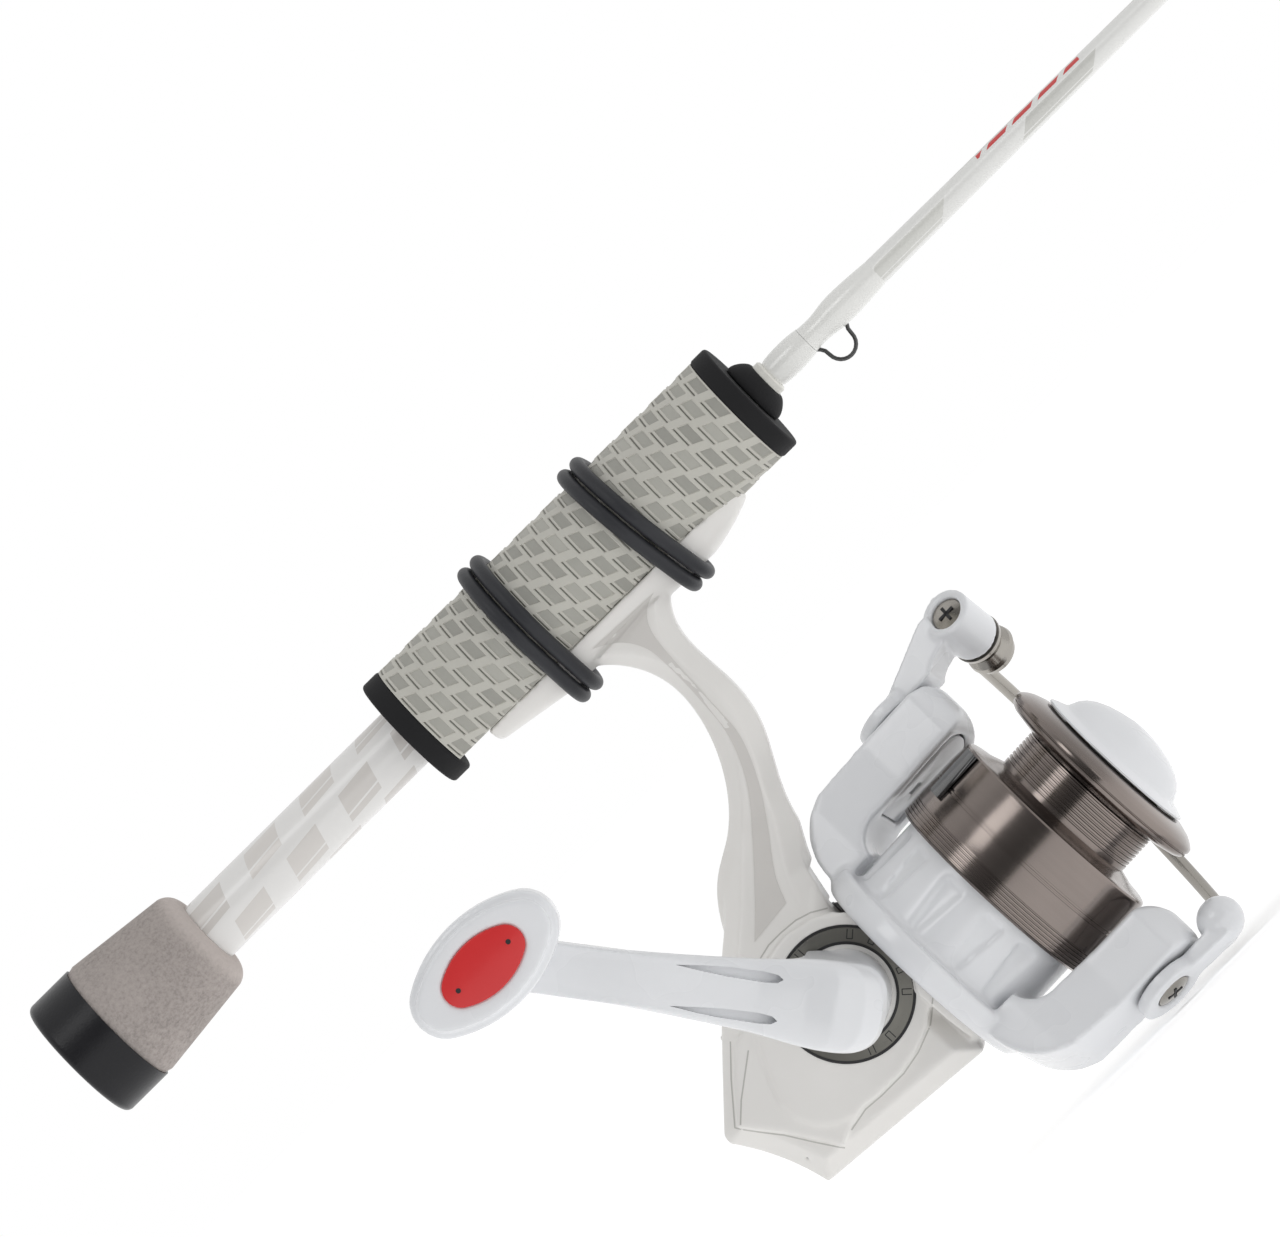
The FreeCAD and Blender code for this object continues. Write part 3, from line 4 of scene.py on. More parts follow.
import bmesh
import bpy
from bpy.props import FloatProperty, FloatVectorProperty, IntProperty, PointerProperty
from bpy.types import Operator, Panel, PropertyGroup
from mathutils import Matrix, Vector
from mathutils.bvhtree import BVHTree


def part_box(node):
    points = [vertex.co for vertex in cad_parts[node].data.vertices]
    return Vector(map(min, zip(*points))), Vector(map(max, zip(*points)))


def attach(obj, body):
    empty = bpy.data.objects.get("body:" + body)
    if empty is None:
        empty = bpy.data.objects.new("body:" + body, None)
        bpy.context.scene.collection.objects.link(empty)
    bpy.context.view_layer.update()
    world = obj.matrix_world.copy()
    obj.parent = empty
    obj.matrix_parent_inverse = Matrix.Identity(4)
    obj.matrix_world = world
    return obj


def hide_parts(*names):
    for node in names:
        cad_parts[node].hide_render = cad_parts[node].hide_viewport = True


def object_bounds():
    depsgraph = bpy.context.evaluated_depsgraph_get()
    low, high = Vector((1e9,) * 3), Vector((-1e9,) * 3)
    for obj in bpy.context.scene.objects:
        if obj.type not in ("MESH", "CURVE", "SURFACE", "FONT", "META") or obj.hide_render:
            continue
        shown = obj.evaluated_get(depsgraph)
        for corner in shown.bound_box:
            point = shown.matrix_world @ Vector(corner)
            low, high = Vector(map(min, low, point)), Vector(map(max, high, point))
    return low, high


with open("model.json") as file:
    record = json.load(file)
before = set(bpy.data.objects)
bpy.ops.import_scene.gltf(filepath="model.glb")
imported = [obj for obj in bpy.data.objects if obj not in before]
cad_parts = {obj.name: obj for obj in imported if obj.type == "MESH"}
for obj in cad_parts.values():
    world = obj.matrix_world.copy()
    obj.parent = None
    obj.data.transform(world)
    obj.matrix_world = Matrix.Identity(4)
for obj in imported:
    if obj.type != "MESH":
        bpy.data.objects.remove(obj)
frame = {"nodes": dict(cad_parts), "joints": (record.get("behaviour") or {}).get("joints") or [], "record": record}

bl_info = {
    "name": "Ice Fishing Rod",
    "version": (1, 0, 0),
    "blender": (4, 5, 0),
    "location": "View3D > Sidebar > Rod",
    "description": "Finishes and visible detail for an ice fishing rod with a spinning reel",
    "category": "Object",
}

MM = 0.001
# corners of a CAD node closer than this are one
WELD = 0.000002
JOINTS = {joint["name"]: joint for joint in frame["joints"]}
BODY_OF = {node: body for body, nodes in frame["record"]["behaviour"]["bodies"].items() for node in nodes}
SLOT_OF = {part["node"]: part["material_slot"] for part in frame["record"]["subparts"]}
CAD_BOX = [list(corner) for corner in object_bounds()]


# ---------------------------------------------------------------- frames

def frame_of(origin, x_axis, y_axis):
    """Matrix whose X and Y columns are the given directions."""
    x = Vector(x_axis).normalized()
    z = x.cross(Vector(y_axis)).normalized()
    y = z.cross(x)
    matrix = Matrix((x, y, z)).transposed().to_4x4()
    matrix.translation = Vector(origin)
    return matrix


ROTOR_AXIS = Vector(JOINTS["rotor_turn"]["axis"]).normalized()
REEL_ORIGIN = Vector(JOINTS["spool_spin"]["pos_m"])
CRANK_CENTRE = Vector(JOINTS["crank_turn"]["pos_m"])
KNOB_CENTRE = Vector(JOINTS["knob_spin"]["pos_m"])
ARM_OUT = -Vector(JOINTS["bail_swing"]["axis"]).normalized()
REEL = frame_of(REEL_ORIGIN, ROTOR_AXIS, (0, 1, 0))
ROTOR = frame_of(REEL_ORIGIN, ROTOR_AXIS, ARM_OUT.cross(ROTOR_AXIS))
ROD = Matrix.Identity(4)
CRANK_ALONG = Vector((KNOB_CENTRE.x - CRANK_CENTRE.x, 0, KNOB_CENTRE.z - CRANK_CENTRE.z)).normalized()
# near side of the reel's case, across the rod
HOUSING_FACE = -10.4 * MM
CRANK_FACE = Vector((CRANK_CENTRE.x, HOUSING_FACE, CRANK_CENTRE.z))
ARM = frame_of(CRANK_FACE, CRANK_ALONG, Vector((0, -1, 0)).cross(CRANK_ALONG))


# ---------------------------------------------------------------- shader graphs

class Signal:
    """A socket of a finish's graph that takes part in Python arithmetic."""

    def __init__(self, finish, socket):
        self.finish = finish
        self.socket = socket

    def math(self, operation, first, second=0.0):
        return self.finish.node("ShaderNodeMath", {"operation": operation}, {0: first, 1: second})

    def __add__(self, other):
        return self.math("ADD", self, other)

    def __radd__(self, other):
        return self.math("ADD", other, self)

    def __sub__(self, other):
        return self.math("SUBTRACT", self, other)

    def __rsub__(self, other):
        return self.math("SUBTRACT", other, self)

    def __mul__(self, other):
        return self.math("MULTIPLY", self, other)

    def __rmul__(self, other):
        return self.math("MULTIPLY", other, self)

    def __lt__(self, other):
        return self.math("LESS_THAN", self, other)

    def __mod__(self, other):
        return self.math("FLOORED_MODULO", self, other)

    def __abs__(self):
        return self.math("ABSOLUTE", self)

    def floor(self):
        return self.math("FLOOR", self)

    def within(self, middle, half):
        """1 where this lies within half of middle."""
        return abs(self - middle) < half


class Finish:
    """A node-based material with a Principled shader."""

    def __init__(self, name, **constants):
        self.material = bpy.data.materials.new(name)
        self.material.use_nodes = True
        self.tree = self.material.node_tree
        self.tree.nodes.clear()
        output = self.tree.nodes.new("ShaderNodeOutputMaterial")
        self.shader = self.tree.nodes.new("ShaderNodeBsdfPrincipled")
        self.tree.links.new(self.shader.outputs["BSDF"], output.inputs["Surface"])
        for socket, amount in constants.items():
            self.shader.inputs[socket.replace("_", " ")].default_value = amount

    def node(self, kind, settings=None, inputs=None, output=0):
        """Add a node: its settings first, then the values or links of its sockets."""
        made = self.tree.nodes.new(kind)
        for key, setting in (settings or {}).items():
            if key == "stops":
                self.set_stops(made.color_ramp, setting)
            else:
                setattr(made, key, setting)
        for key, item in (inputs or {}).items():
            if isinstance(item, Signal):
                self.tree.links.new(item.socket, made.inputs[key])
            else:
                made.inputs[key].default_value = item
        return Signal(self, made.outputs[output])

    def set_stops(self, ramp, stops):
        for index, (place, shade) in enumerate(stops):
            stop = ramp.elements[index] if index < 2 else ramp.elements.new(place)
            stop.position = place
            stop.color = (*shade, 1) if len(shade) == 3 else shade

    def feed(self, socket, signal):
        self.tree.links.new(signal.socket, self.shader.inputs[socket])

    def place(self, matrix=ROD):
        """Object coordinates seen from another frame, in metres."""
        return self.node("ShaderNodeMapping", {"vector_type": "TEXTURE"}, {
            "Vector": self.node("ShaderNodeTexCoord", output="Object"),
            "Location": tuple(matrix.translation), "Rotation": tuple(matrix.to_euler())})

    def split(self, vector):
        return [self.node("ShaderNodeSeparateXYZ", inputs={0: vector}, output=axis) for axis in range(3)]

    def around(self, matrix=ROD):
        """Distance along X, angle about it and radius."""
        x, y, z = self.split(self.place(matrix))
        angle = z.math("ARCTAN2", z, 0.0 - y)
        radius = z.math("SQRT", y * y + z * z)
        return x, angle, radius

    def noise(self, vector, scale, detail=3.0, roughness=0.6):
        return self.node("ShaderNodeTexNoise", inputs={
            "Vector": vector, "Scale": scale, "Detail": detail, "Roughness": roughness})

    def colour(self, factor, first, second):
        """Colour that goes from first to second with the factor."""
        sockets = {0: factor, 6: whole(first), 7: whole(second)}
        return self.node("ShaderNodeMix", {"data_type": "RGBA"}, sockets, output=2)

    def amount(self, factor, first, second):
        """Number that goes from first to second with the factor."""
        return first + factor * (second - first)

    def bump(self, height, distance, strength=1.0):
        self.feed("Normal", self.node("ShaderNodeBump", inputs={
            "Height": height, "Distance": distance, "Strength": strength}))


def whole(shade):
    """Colour with an alpha, unless it is a signal."""
    return shade if isinstance(shade, Signal) or len(shade) == 4 else (*shade, 1)


def tinted(shade, factor, lift=0.0):
    """Shade made darker or lighter, held at full white."""
    return tuple(min(channel * factor + lift, 1) for channel in shade)


def painted(name, shade, roughness, coat=0.0, tint=0.04):
    """Sprayed or moulded surface: faint mottling, orange peel and uneven gloss."""
    finish = Finish(name, Coat_Weight=coat, Coat_Roughness=0.12)
    place = finish.place()
    cloud = finish.noise(place, 60.0, 2.0)
    peel = finish.noise(place, 1400.0, 2.0)
    finish.feed("Base Color", finish.colour(cloud, tinted(shade, 1 - tint), tinted(shade, 1 + tint)))
    finish.feed("Roughness", finish.amount(cloud, roughness * 0.85, roughness * 1.15))
    finish.bump(peel, 0.00002, 0.6)
    return finish.material


def rubber(name, shade, roughness=0.62, shine=0.3):
    """Moulded rubber: matt, with a fine pebble and paler dust in patches."""
    finish = Finish(name, Specular_IOR_Level=shine)
    place = finish.place()
    dust = finish.noise(place, 120.0, 5.0, 0.7)
    pebble = finish.noise(place, 2600.0, 3.0)
    finish.feed("Base Color", finish.colour(dust, shade, tinted(shade, 1.12, 0.004)))
    finish.feed("Roughness", finish.amount(dust, roughness - 0.08, roughness + 0.1))
    finish.bump(pebble, 0.00006, 0.7)
    return finish.material


def foam(name, shade, rim=None):
    """Closed-cell foam: speckled grain with small open pores, and paler towards a worn rim."""
    finish = Finish(name, Roughness=0.92)
    place = finish.place()
    grain = finish.noise(place, 1500.0, 4.0, 0.75)
    cloud = finish.noise(place, 90.0, 3.0)
    pores = finish.node("ShaderNodeTexVoronoi", {"feature": "F1"}, {"Vector": place, "Scale": 1300.0})
    speck = grain * 0.65 + cloud * 0.35
    stops = [(0.32, tinted(shade, 0.62)), (0.52, shade), (0.72, tinted(shade, 1.22))]
    base = finish.node("ShaderNodeValToRGB", {"stops": stops}, {0: speck})
    if rim:
        along = finish.split(place)[0]
        worn = finish.node("ShaderNodeMapRange", {"interpolation_type": "SMOOTHSTEP"}, {
            "Value": along + grain * 0.001, "From Min": rim - 0.0032, "From Max": rim - 0.0002})
        base = finish.colour(worn * 0.65, base, tinted(shade, 1.6))
    finish.feed("Base Color", base)
    finish.bump(grain * 0.6 + pores * 0.8, 0.00012, 0.8)
    return finish.material


def spun_metal(name, shade, roughness, matrix=REEL, painted_sheen=None):
    """Turned metal: fine lines round an axis, and optional bands of painted sheen, darker stripes by angle round
    the axis that stand in for reflections, given by their number, phase and strength.
    """
    lines = 1500.0
    finish = Finish(name, Metallic=1.0)
    along, angle, radius = finish.around(matrix)
    thread = finish.node("ShaderNodeCombineXYZ", inputs={0: along * lines, 1: radius * lines, 2: angle * 0.4})
    turned = finish.noise(thread, 1.0, 3.0, 0.7)
    cloud = finish.noise(finish.place(matrix), 90.0, 3.0)
    base = finish.colour(turned * 0.6 + cloud * 0.4, tinted(shade, 0.88), tinted(shade, 1.12))
    if painted_sheen:
        bands, phase, strength = painted_sheen
        # painted reflection: the colour darkens in bands by angle round the axis, as the sheen of turned metal
        # would
        painted_sheen_wave = finish.node("ShaderNodeMath", {"operation": "SINE"}, {0: angle * bands + phase}) * 0.5 + 0.5
        base = finish.colour(painted_sheen_wave * strength, base, tinted(shade, 0.22))
    finish.feed("Base Color", base)
    finish.feed("Roughness", finish.amount(turned, roughness * 0.8, roughness * 1.3))
    finish.bump(turned, 0.000006, 0.8)
    return finish.material


def patch_print(name, pitch, rows, drift, size, shade, patch, dashes=None):
    """Pearl white tube printed with slanted patches in helical rows, each patch split by a thin line."""
    first_row, stagger, slant = 0.62, 0.37, 0.15
    line_place, line_half = 0.345, 0.022
    finish = Finish(name, Coat_Weight=0.45, Coat_Roughness=0.12)
    along, angle, _ = finish.around()
    cloud = finish.noise(finish.place(), 55.0, 2.0)
    climb = angle * (rows / (2 * math.pi)) + along * drift + first_row
    row = climb.floor()
    across = climb % 1.0
    shifted = along * (1 / pitch) + row * stagger - across * slant
    column = shifted.floor()
    run = shifted % 1.0
    chance = finish.node("ShaderNodeTexWhiteNoise", {"noise_dimensions": "2D"}, {
        "Vector": finish.node("ShaderNodeCombineXYZ", inputs={0: row + 0.5, 1: column + 0.5, 2: 0.0})})
    inside = run.within(0.45, size[0] / 2) * across.within(0.5, size[1] / 2)
    shown = inside * (1.0 - across.within(line_place, line_half))
    base = finish.colour(cloud, tinted(shade, 0.96), shade)
    base = finish.colour(shown, base, finish.colour(chance, patch, tinted(patch, 1.16)))
    if dashes:
        middle, half = dashes
        per_metre, lean, filled = 175.0, 0.4, 0.74
        slanted = (along * per_metre - angle * lean) % 1.0 < filled
        row_of_dashes = along.within(middle, half) * angle.within(0.92, 0.24) * slanted
        base = finish.colour(row_of_dashes, base, (0.60, 0.035, 0.035))
    finish.feed("Base Color", base)
    finish.feed("Roughness", finish.amount(cloud, 0.28, 0.40))
    finish.bump(finish.noise(finish.place(), 900.0, 2.0), 0.00002, 0.5)
    return finish.material


# ---------------------------------------------------------------- camera, light and floor

class RodStage(PropertyGroup):
    """Camera, lights and floor."""
    camera_place: FloatVectorProperty(
        name="Camera", description="Place of the camera", size=3, subtype="TRANSLATION",
        default=(0.300, -2.400, 0.0))
    camera_target: FloatVectorProperty(
        name="Target", description="Point in the middle of the view", size=3, subtype="TRANSLATION",
        default=(0.1149, 0.0, -0.0129))
    camera_roll: FloatProperty(
        name="Roll", description="Turn of the view about its axis", subtype="ANGLE",
        default=math.radians(44.7))
    lens: FloatProperty(
        name="Lens", description="Focal length", default=422.0, unit="CAMERA")
    sky: FloatProperty(
        name="Surround", description="Strength of the white surround", default=0.84, min=0)
    front: FloatProperty(
        name="Camera side", description="Strength of the surround behind the camera", default=0.13, min=0)
    key: FloatProperty(
        name="Key light", description="Power of the large overhead light", default=2.6, min=0)


class ROD_OT_stage(Operator):
    """Make the camera, the soft lights and the pale floor"""
    bl_idname = "rod.stage"
    bl_label = "Stage"

    def execute(self, context):
        settings = context.scene.rod_stage
        self.add_camera(context, settings)
        self.add_surround(context, settings)
        self.add_lights(context, settings)
        self.add_floor(context)
        context.scene.view_settings.view_transform = "Standard"
        return {"FINISHED"}

    def add_camera(self, context, settings):
        data = bpy.data.cameras.new("camera")
        data.lens = settings.lens
        data.sensor_width = 36
        data.clip_start = 0.1
        data.clip_end = 20
        camera = bpy.data.objects.new("camera", data)
        place = Vector(settings.camera_place)
        forward = (Vector(settings.camera_target) - place).normalized()
        up = Vector((0, 0, 1))
        right = forward.cross(up).normalized()
        up = right.cross(forward)
        roll = settings.camera_roll
        # the rod's +X axis stands at the roll angle above the picture's right
        view_right = right * math.cos(roll) - up * math.sin(roll)
        view_up = right * math.sin(roll) + up * math.cos(roll)
        matrix = Matrix((view_right, view_up, -forward)).transposed().to_4x4()
        matrix.translation = place
        camera.matrix_world = matrix
        context.scene.collection.objects.link(camera)
        context.scene.camera = camera

    def add_surround(self, context, settings):
        world = bpy.data.worlds.new("surround")
        world.use_nodes = True
        tree = world.node_tree
        background = tree.nodes["Background"]
        background.inputs["Color"].default_value = (1, 1, 1, 1)
        direction = tree.nodes.new("ShaderNodeTexCoord").outputs["Generated"]
        axes = tree.nodes.new("ShaderNodeSeparateXYZ")
        tree.links.new(direction, axes.inputs[0])
        # darker towards the camera, so that faces turned to it stand out from their edges
        facing = tree.nodes.new("ShaderNodeMapRange")
        tree.links.new(axes.outputs[1], facing.inputs["Value"])
        for socket, amount in (("From Min", -1.0), ("From Max", -0.25), ("To Min", settings.front),
                               ("To Max", settings.sky)):
            facing.inputs[socket].default_value = amount
        seen = tree.nodes.new("ShaderNodeLightPath").outputs["Is Camera Ray"]
        chosen = tree.nodes.new("ShaderNodeMix")
        tree.links.new(seen, chosen.inputs[0])
        tree.links.new(facing.outputs[0], chosen.inputs[2])
        chosen.inputs[3].default_value = 1.0
        tree.links.new(chosen.outputs[0], background.inputs["Strength"])
        context.scene.world = world

    def add_lights(self, context, settings):
        lamps = [
            ("key_light", (-0.10, -1.0, 1.0), (0.10, 0, -0.04), (0.7, 0.45), settings.key),
            ("side_light", (1.15, -0.75, -0.25), (0.12, 0, -0.08), (0.25, 0.9), settings.key * 0.30),
        ]
        for name, place, target, (width, height), power in lamps:
            data = bpy.data.lights.new(name, "AREA")
            data.shape = "RECTANGLE"
            data.size = width
            data.size_y = height
            data.energy = power
            lamp = bpy.data.objects.new(name, data)
            aim = (Vector(target) - Vector(place)).to_track_quat("-Z", "Y").to_matrix().to_4x4()
            lamp.matrix_world = Matrix.Translation(place) @ aim
            context.scene.collection.objects.link(lamp)

    def add_floor(self, context):
        mesh = bmesh.new()
        bmesh.ops.create_grid(mesh, x_segments=1, y_segments=1, size=6.0)
        gap = 0.0005
        bmesh.ops.translate(mesh, verts=mesh.verts, vec=(0, 0, CAD_BOX[0][2] - gap))
        floor = finish_object(mesh, "floor")
        finish = Finish("floor_white", Roughness=0.9, Emission_Color=(1, 1, 1, 1), Emission_Strength=0.34,
                        Specular_IOR_Level=0.0)
        cloud = finish.noise(finish.place(), 3.0, 2.0)
        finish.feed("Base Color", finish.colour(cloud, (0.93, 0.93, 0.93), (0.96, 0.96, 0.96)))
        floor.data.materials.append(finish.material)


# ---------------------------------------------------------------- objects

def finish_object(mesh, name, matrix=ROD, smooth=None):
    """Turn a bmesh into an object at the origin, with its place in its mesh."""
    if matrix is not ROD:
        bmesh.ops.transform(mesh, matrix=matrix, verts=mesh.verts)
    data = bpy.data.meshes.new(name)
    mesh.to_mesh(data)
    mesh.free()
    made = bpy.data.objects.new(name, data)
    bpy.context.scene.collection.objects.link(made)
    if smooth is not None:
        data.shade_smooth()
        data.set_sharp_from_angle(angle=math.radians(smooth))
    return made


def settle(made, body, material, replaced=()):
    """Give a piece its finish, put it under the body that carries it and hide the nodes it stands for."""
    if material is not None:
        made.data.materials.append(material)
    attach(made, body)
    if replaced:
        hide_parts(*replaced)


def corners_of(made):
    """Vertices among what a bmesh operator made."""
    return [item for item in made if isinstance(item, bmesh.types.BMVert)]


def copy_of(node):
    """Copy of a CAD node's mesh with its loose triangles joined."""
    mesh = bmesh.new()
    mesh.from_mesh(frame["nodes"][node].data)
    bmesh.ops.remove_doubles(mesh, verts=mesh.verts, dist=WELD)
    return mesh


def with_modifier(made, kind, **settings):
    """Mesh that an object has under one modifier."""
    modifier = made.modifiers.new("shape", kind)
    for name, setting in settings.items():
        setattr(modifier, name, setting)
    return bpy.data.meshes.new_from_object(made.evaluated_get(bpy.context.evaluated_depsgraph_get()))


# ---------------------------------------------------------------- finishes of the CAD nodes

FINISHES = {}


def tint_setting(name, description, shade):
    """Colour that a user may change."""
    return FloatVectorProperty(name=name, description=description, size=3, subtype="COLOR", default=shade,
                               min=0, max=1)


class RodColours(PropertyGroup):
    """Main colours of the rod and the reel."""
    case: tint_setting("Case", "Reel case, cover and stem", (0.78, 0.765, 0.74))
    pearl: tint_setting("Pearl", "Rotor, bail levers, crank and drag knob", (0.76, 0.77, 0.79))
    spool: tint_setting("Spool", "Turned metal of the spool", (0.29, 0.25, 0.23))
    bezel: tint_setting("Bezel", "Metal ring round the crank", (0.21, 0.205, 0.185))
    inlay: tint_setting("Inlay", "Inlay of the crank knob", (0.62, 0.018, 0.020))
    foam: tint_setting("Butt foam", "Foam of the butt", (0.375, 0.335, 0.315))
    tube: tint_setting("Tube", "Ground of the printed handle tube", (0.80, 0.79, 0.775))
    blank: tint_setting("Blank", "Ground of the printed blank", (0.80, 0.80, 0.78))


def make_finishes(colours):
    """Finish of every material slot and of the extra pieces."""
    crank_axis = frame_of(CRANK_CENTRE, (0, 1, 0), (1, 0, 0))
    FINISHES.update({
        "blank": patch_print("printed_blank", 0.034, 3, 0.0, (0.46, 0.6), tuple(colours.blank),
                             (0.60, 0.60, 0.57), dashes=(0.2167, 0.0114)),
        "tube": patch_print("printed_tube", 0.013, 5, -15.0, (0.56, 0.7), tuple(colours.tube),
                            (0.60, 0.575, 0.55)),
        "foam": foam("butt_foam", tuple(colours.foam), rim=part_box("butt_foam")[1].x),
        "black_rubber": rubber("charcoal_rubber", (0.011, 0.011, 0.012), 0.7, 0.2),
        "cap": rubber("cap_rubber", (0.008, 0.008, 0.010), 0.30, 0.28),
        "bands": rubber("band_rubber", (0.020, 0.021, 0.025), 0.45, 0.35),
        "sleeve": rubber("grip_land", (0.50, 0.49, 0.445), 0.6, 0.4),
        "thread": painted("coated_thread", (0.80, 0.80, 0.775), 0.25, coat=0.6),
        "cream": painted("cream_ring", (0.74, 0.73, 0.68), 0.35),
        "wire_dark": spun_metal("dark_wire", (0.10, 0.10, 0.10), 0.35),
        "ceramic": painted("guide_ceramic", (0.03, 0.03, 0.032), 0.12, coat=0.6),
        "case": painted("case_white", tuple(colours.case), 0.36, coat=0.25),
        "pearl": painted("pearl_white", tuple(colours.pearl), 0.28, coat=0.45),
        "steel": spun_metal("bright_steel", (0.38, 0.36, 0.33), 0.2),
        # the bezel gets painted sheen: two dark bands by angle round the crank, standing in for reflections
        "gunmetal": spun_metal("gunmetal", tuple(colours.bezel), 0.28, crank_axis, painted_sheen=(2, 0.9, 0.45)),
        "brass": spun_metal("pinion_brass", (0.62, 0.45, 0.18), 0.25),
        "zinc": spun_metal("cast_zinc", (0.45, 0.45, 0.46), 0.38, crank_axis),
        # the spool gets painted sheen: three dark bands by angle round the reel's axis, standing in for
        # reflections
        "champagne": spun_metal("champagne_aluminium", tuple(colours.spool), 0.17, painted_sheen=(3, 0.4, 0.45)),
        "black_gloss": painted("clip_black", (0.012, 0.012, 0.013), 0.14, coat=0.8),
        "red": painted("red_inlay", tuple(colours.inlay), 0.4, coat=0.15, tint=0.08),
        "felt": foam("washer_felt", (0.24, 0.21, 0.18)),
        # painted shade: the spine strip is darker than the case, standing in for the shade on the stem's middle
        # flat
        "spine_painted_shade": painted("stem_flat_painted_shade", (0.63, 0.61, 0.585), 0.42, coat=0.1),
        # painted shade: grey seam lines standing in for the shade in the grooves beside the raised work
        "seam_shade": painted("seam_painted_shade", (0.50, 0.49, 0.465), 0.5),
        "recess": painted("recess_shadow", (0.012, 0.012, 0.013), 0.5),
    })


class ROD_OT_finishes(Operator):
    """Give every CAD node its finish"""
    bl_idname = "rod.finishes"
    bl_label = "Finishes"

    def execute(self, context):
        make_finishes(context.scene.rod_colours)
        own_slot = {"butt_cap": "cap", "rear_bands": "bands", "front_bands": "bands"}
        for name, piece in frame["nodes"].items():
            piece.data.materials.clear()
            piece.data.materials.append(FINISHES[own_slot.get(name, SLOT_OF[name])])
            piece.data.shade_smooth()
            piece.data.set_sharp_from_angle(angle=math.radians(32))
        return {"FINISHED"}


# ---------------------------------------------------------------- shapes

def new_piece_from(node, name, edge):
    """Copy of a CAD node with its loose triangles joined into faces and its edges rounded."""
    mesh = copy_of(node)
    bmesh.ops.dissolve_limit(mesh, angle_limit=math.radians(1.5), verts=mesh.verts, edges=mesh.edges)
    sharp = [item for item in mesh.edges
             if item.is_manifold and item.calc_face_angle(0) > math.radians(24)]
    bmesh.ops.bevel(mesh, geom=sharp, offset=edge, offset_type="OFFSET", affect="EDGES", segments=3,
                    profile=0.5, material=-1, clamp_overlap=True, miter_outer="ARC")
    bmesh.ops.triangulate(mesh, faces=[face for face in mesh.faces if len(face.verts) > 4])
    return finish_object(mesh, name, smooth=40)


def lathe(profile, steps):
    """Turned mesh from a closed profile of (distance, radius) pairs in millimetres, about X."""
    mesh = bmesh.new()
    corners = [mesh.verts.new((distance * MM, 0, radius * MM)) for distance, radius in profile]
    edges = [mesh.edges.new(pair) for pair in zip(corners, [*corners[1:], corners[0]])]
    bmesh.ops.spin(mesh, geom=corners + edges, axis=(1, 0, 0), cent=(0, 0, 0), angle=2 * math.pi,
                   steps=steps, use_merge=True)
    bmesh.ops.remove_doubles(mesh, verts=mesh.verts, dist=0.000001)
    bmesh.ops.recalc_face_normals(mesh, faces=mesh.faces)
    return mesh


def box(mesh, centre, size, matrix=ROD):
    """Add a box to a mesh; the centre and size are in millimetres."""
    scale = Matrix.Diagonal((size[0] * MM, size[1] * MM, size[2] * MM, 1))
    place = Matrix.Translation(Vector(centre) * MM)
    bmesh.ops.create_cube(mesh, size=1.0, matrix=matrix @ place @ scale)


def smooth_line(outline, steps):
    """Smooth curve through the points of an outline."""
    points = []
    for index in range(len(outline) - 1):
        before, start = outline[max(index - 1, 0)], outline[index]
        end, after = outline[index + 1], outline[min(index + 2, len(outline) - 1)]
        for step in range(steps):
            t = step / steps
            points.append(tuple(0.5 * (2 * b + (c - a) * t + (2 * a - 5 * b + 4 * c - d) * t * t
                                       + (3 * b - a - 3 * c + d) * t ** 3)
                                for a, b, c, d in zip(before, start, end, after)))
    return [*points, outline[-1]]


def grooved(start, end, radius, depth, count, end_radius=None):
    """Profile points of a row of flat grooves between two places."""
    end_radius = radius if end_radius is None else end_radius
    pitch = (end - start) / count
    points = []
    for index in range(count):
        here = start + index * pitch
        outer = radius + (end_radius - radius) * (index / count)
        points += [(here, outer), (here + pitch * 0.45, outer), (here + pitch * 0.6, outer - depth),
                   (here + pitch * 0.85, outer - depth)]
    points.append((end, end_radius))
    return points


# ---------------------------------------------------------------- grip

# height of the flat that the reel foot lies on, and its length
SEAT = -8.62 * MM
SEAT_LENGTH = 57.3 * MM
# radius of the sleeve and of its bore in millimetres
SLEEVE_RADIUS, SLEEVE_BORE = 10.5, 5.55


class GripSizes(PropertyGroup):
    """Relief of the grip sleeve."""
    columns: IntProperty(name="Columns", description="Rings of cells along the grip", default=23, min=4)
    cells: IntProperty(name="Cells", description="Cells in one ring", default=12, min=6)
    depth: FloatProperty(name="Depth", description="Depth of a cell", default=0.00016, unit="LENGTH", min=0)
    cell_colour: tint_setting("Cell colour", "Floor of the cells", (0.375, 0.37, 0.335))
    slot_colour: tint_setting("Slot colour", "Narrow slot beside each cell", (0.15, 0.148, 0.13))


def cell_print(name, shade):
    """Rubber floor of the relief, in a tone of its own for each cell."""
    finish = Finish(name, Roughness=0.62)
    tone = finish.node("ShaderNodeAttribute", {"attribute_name": "tone"}, output="Fac")
    dust = finish.noise(finish.place(), 700.0, 4.0, 0.7)
    mottle = tone * 0.75 + dust * 0.25
    finish.feed("Base Color", finish.colour(mottle, tinted(shade, 0.8), tinted(shade, 1.22)))
    finish.bump(finish.noise(finish.place(), 2600.0, 3.0), 0.00005, 0.6)
    return finish.material


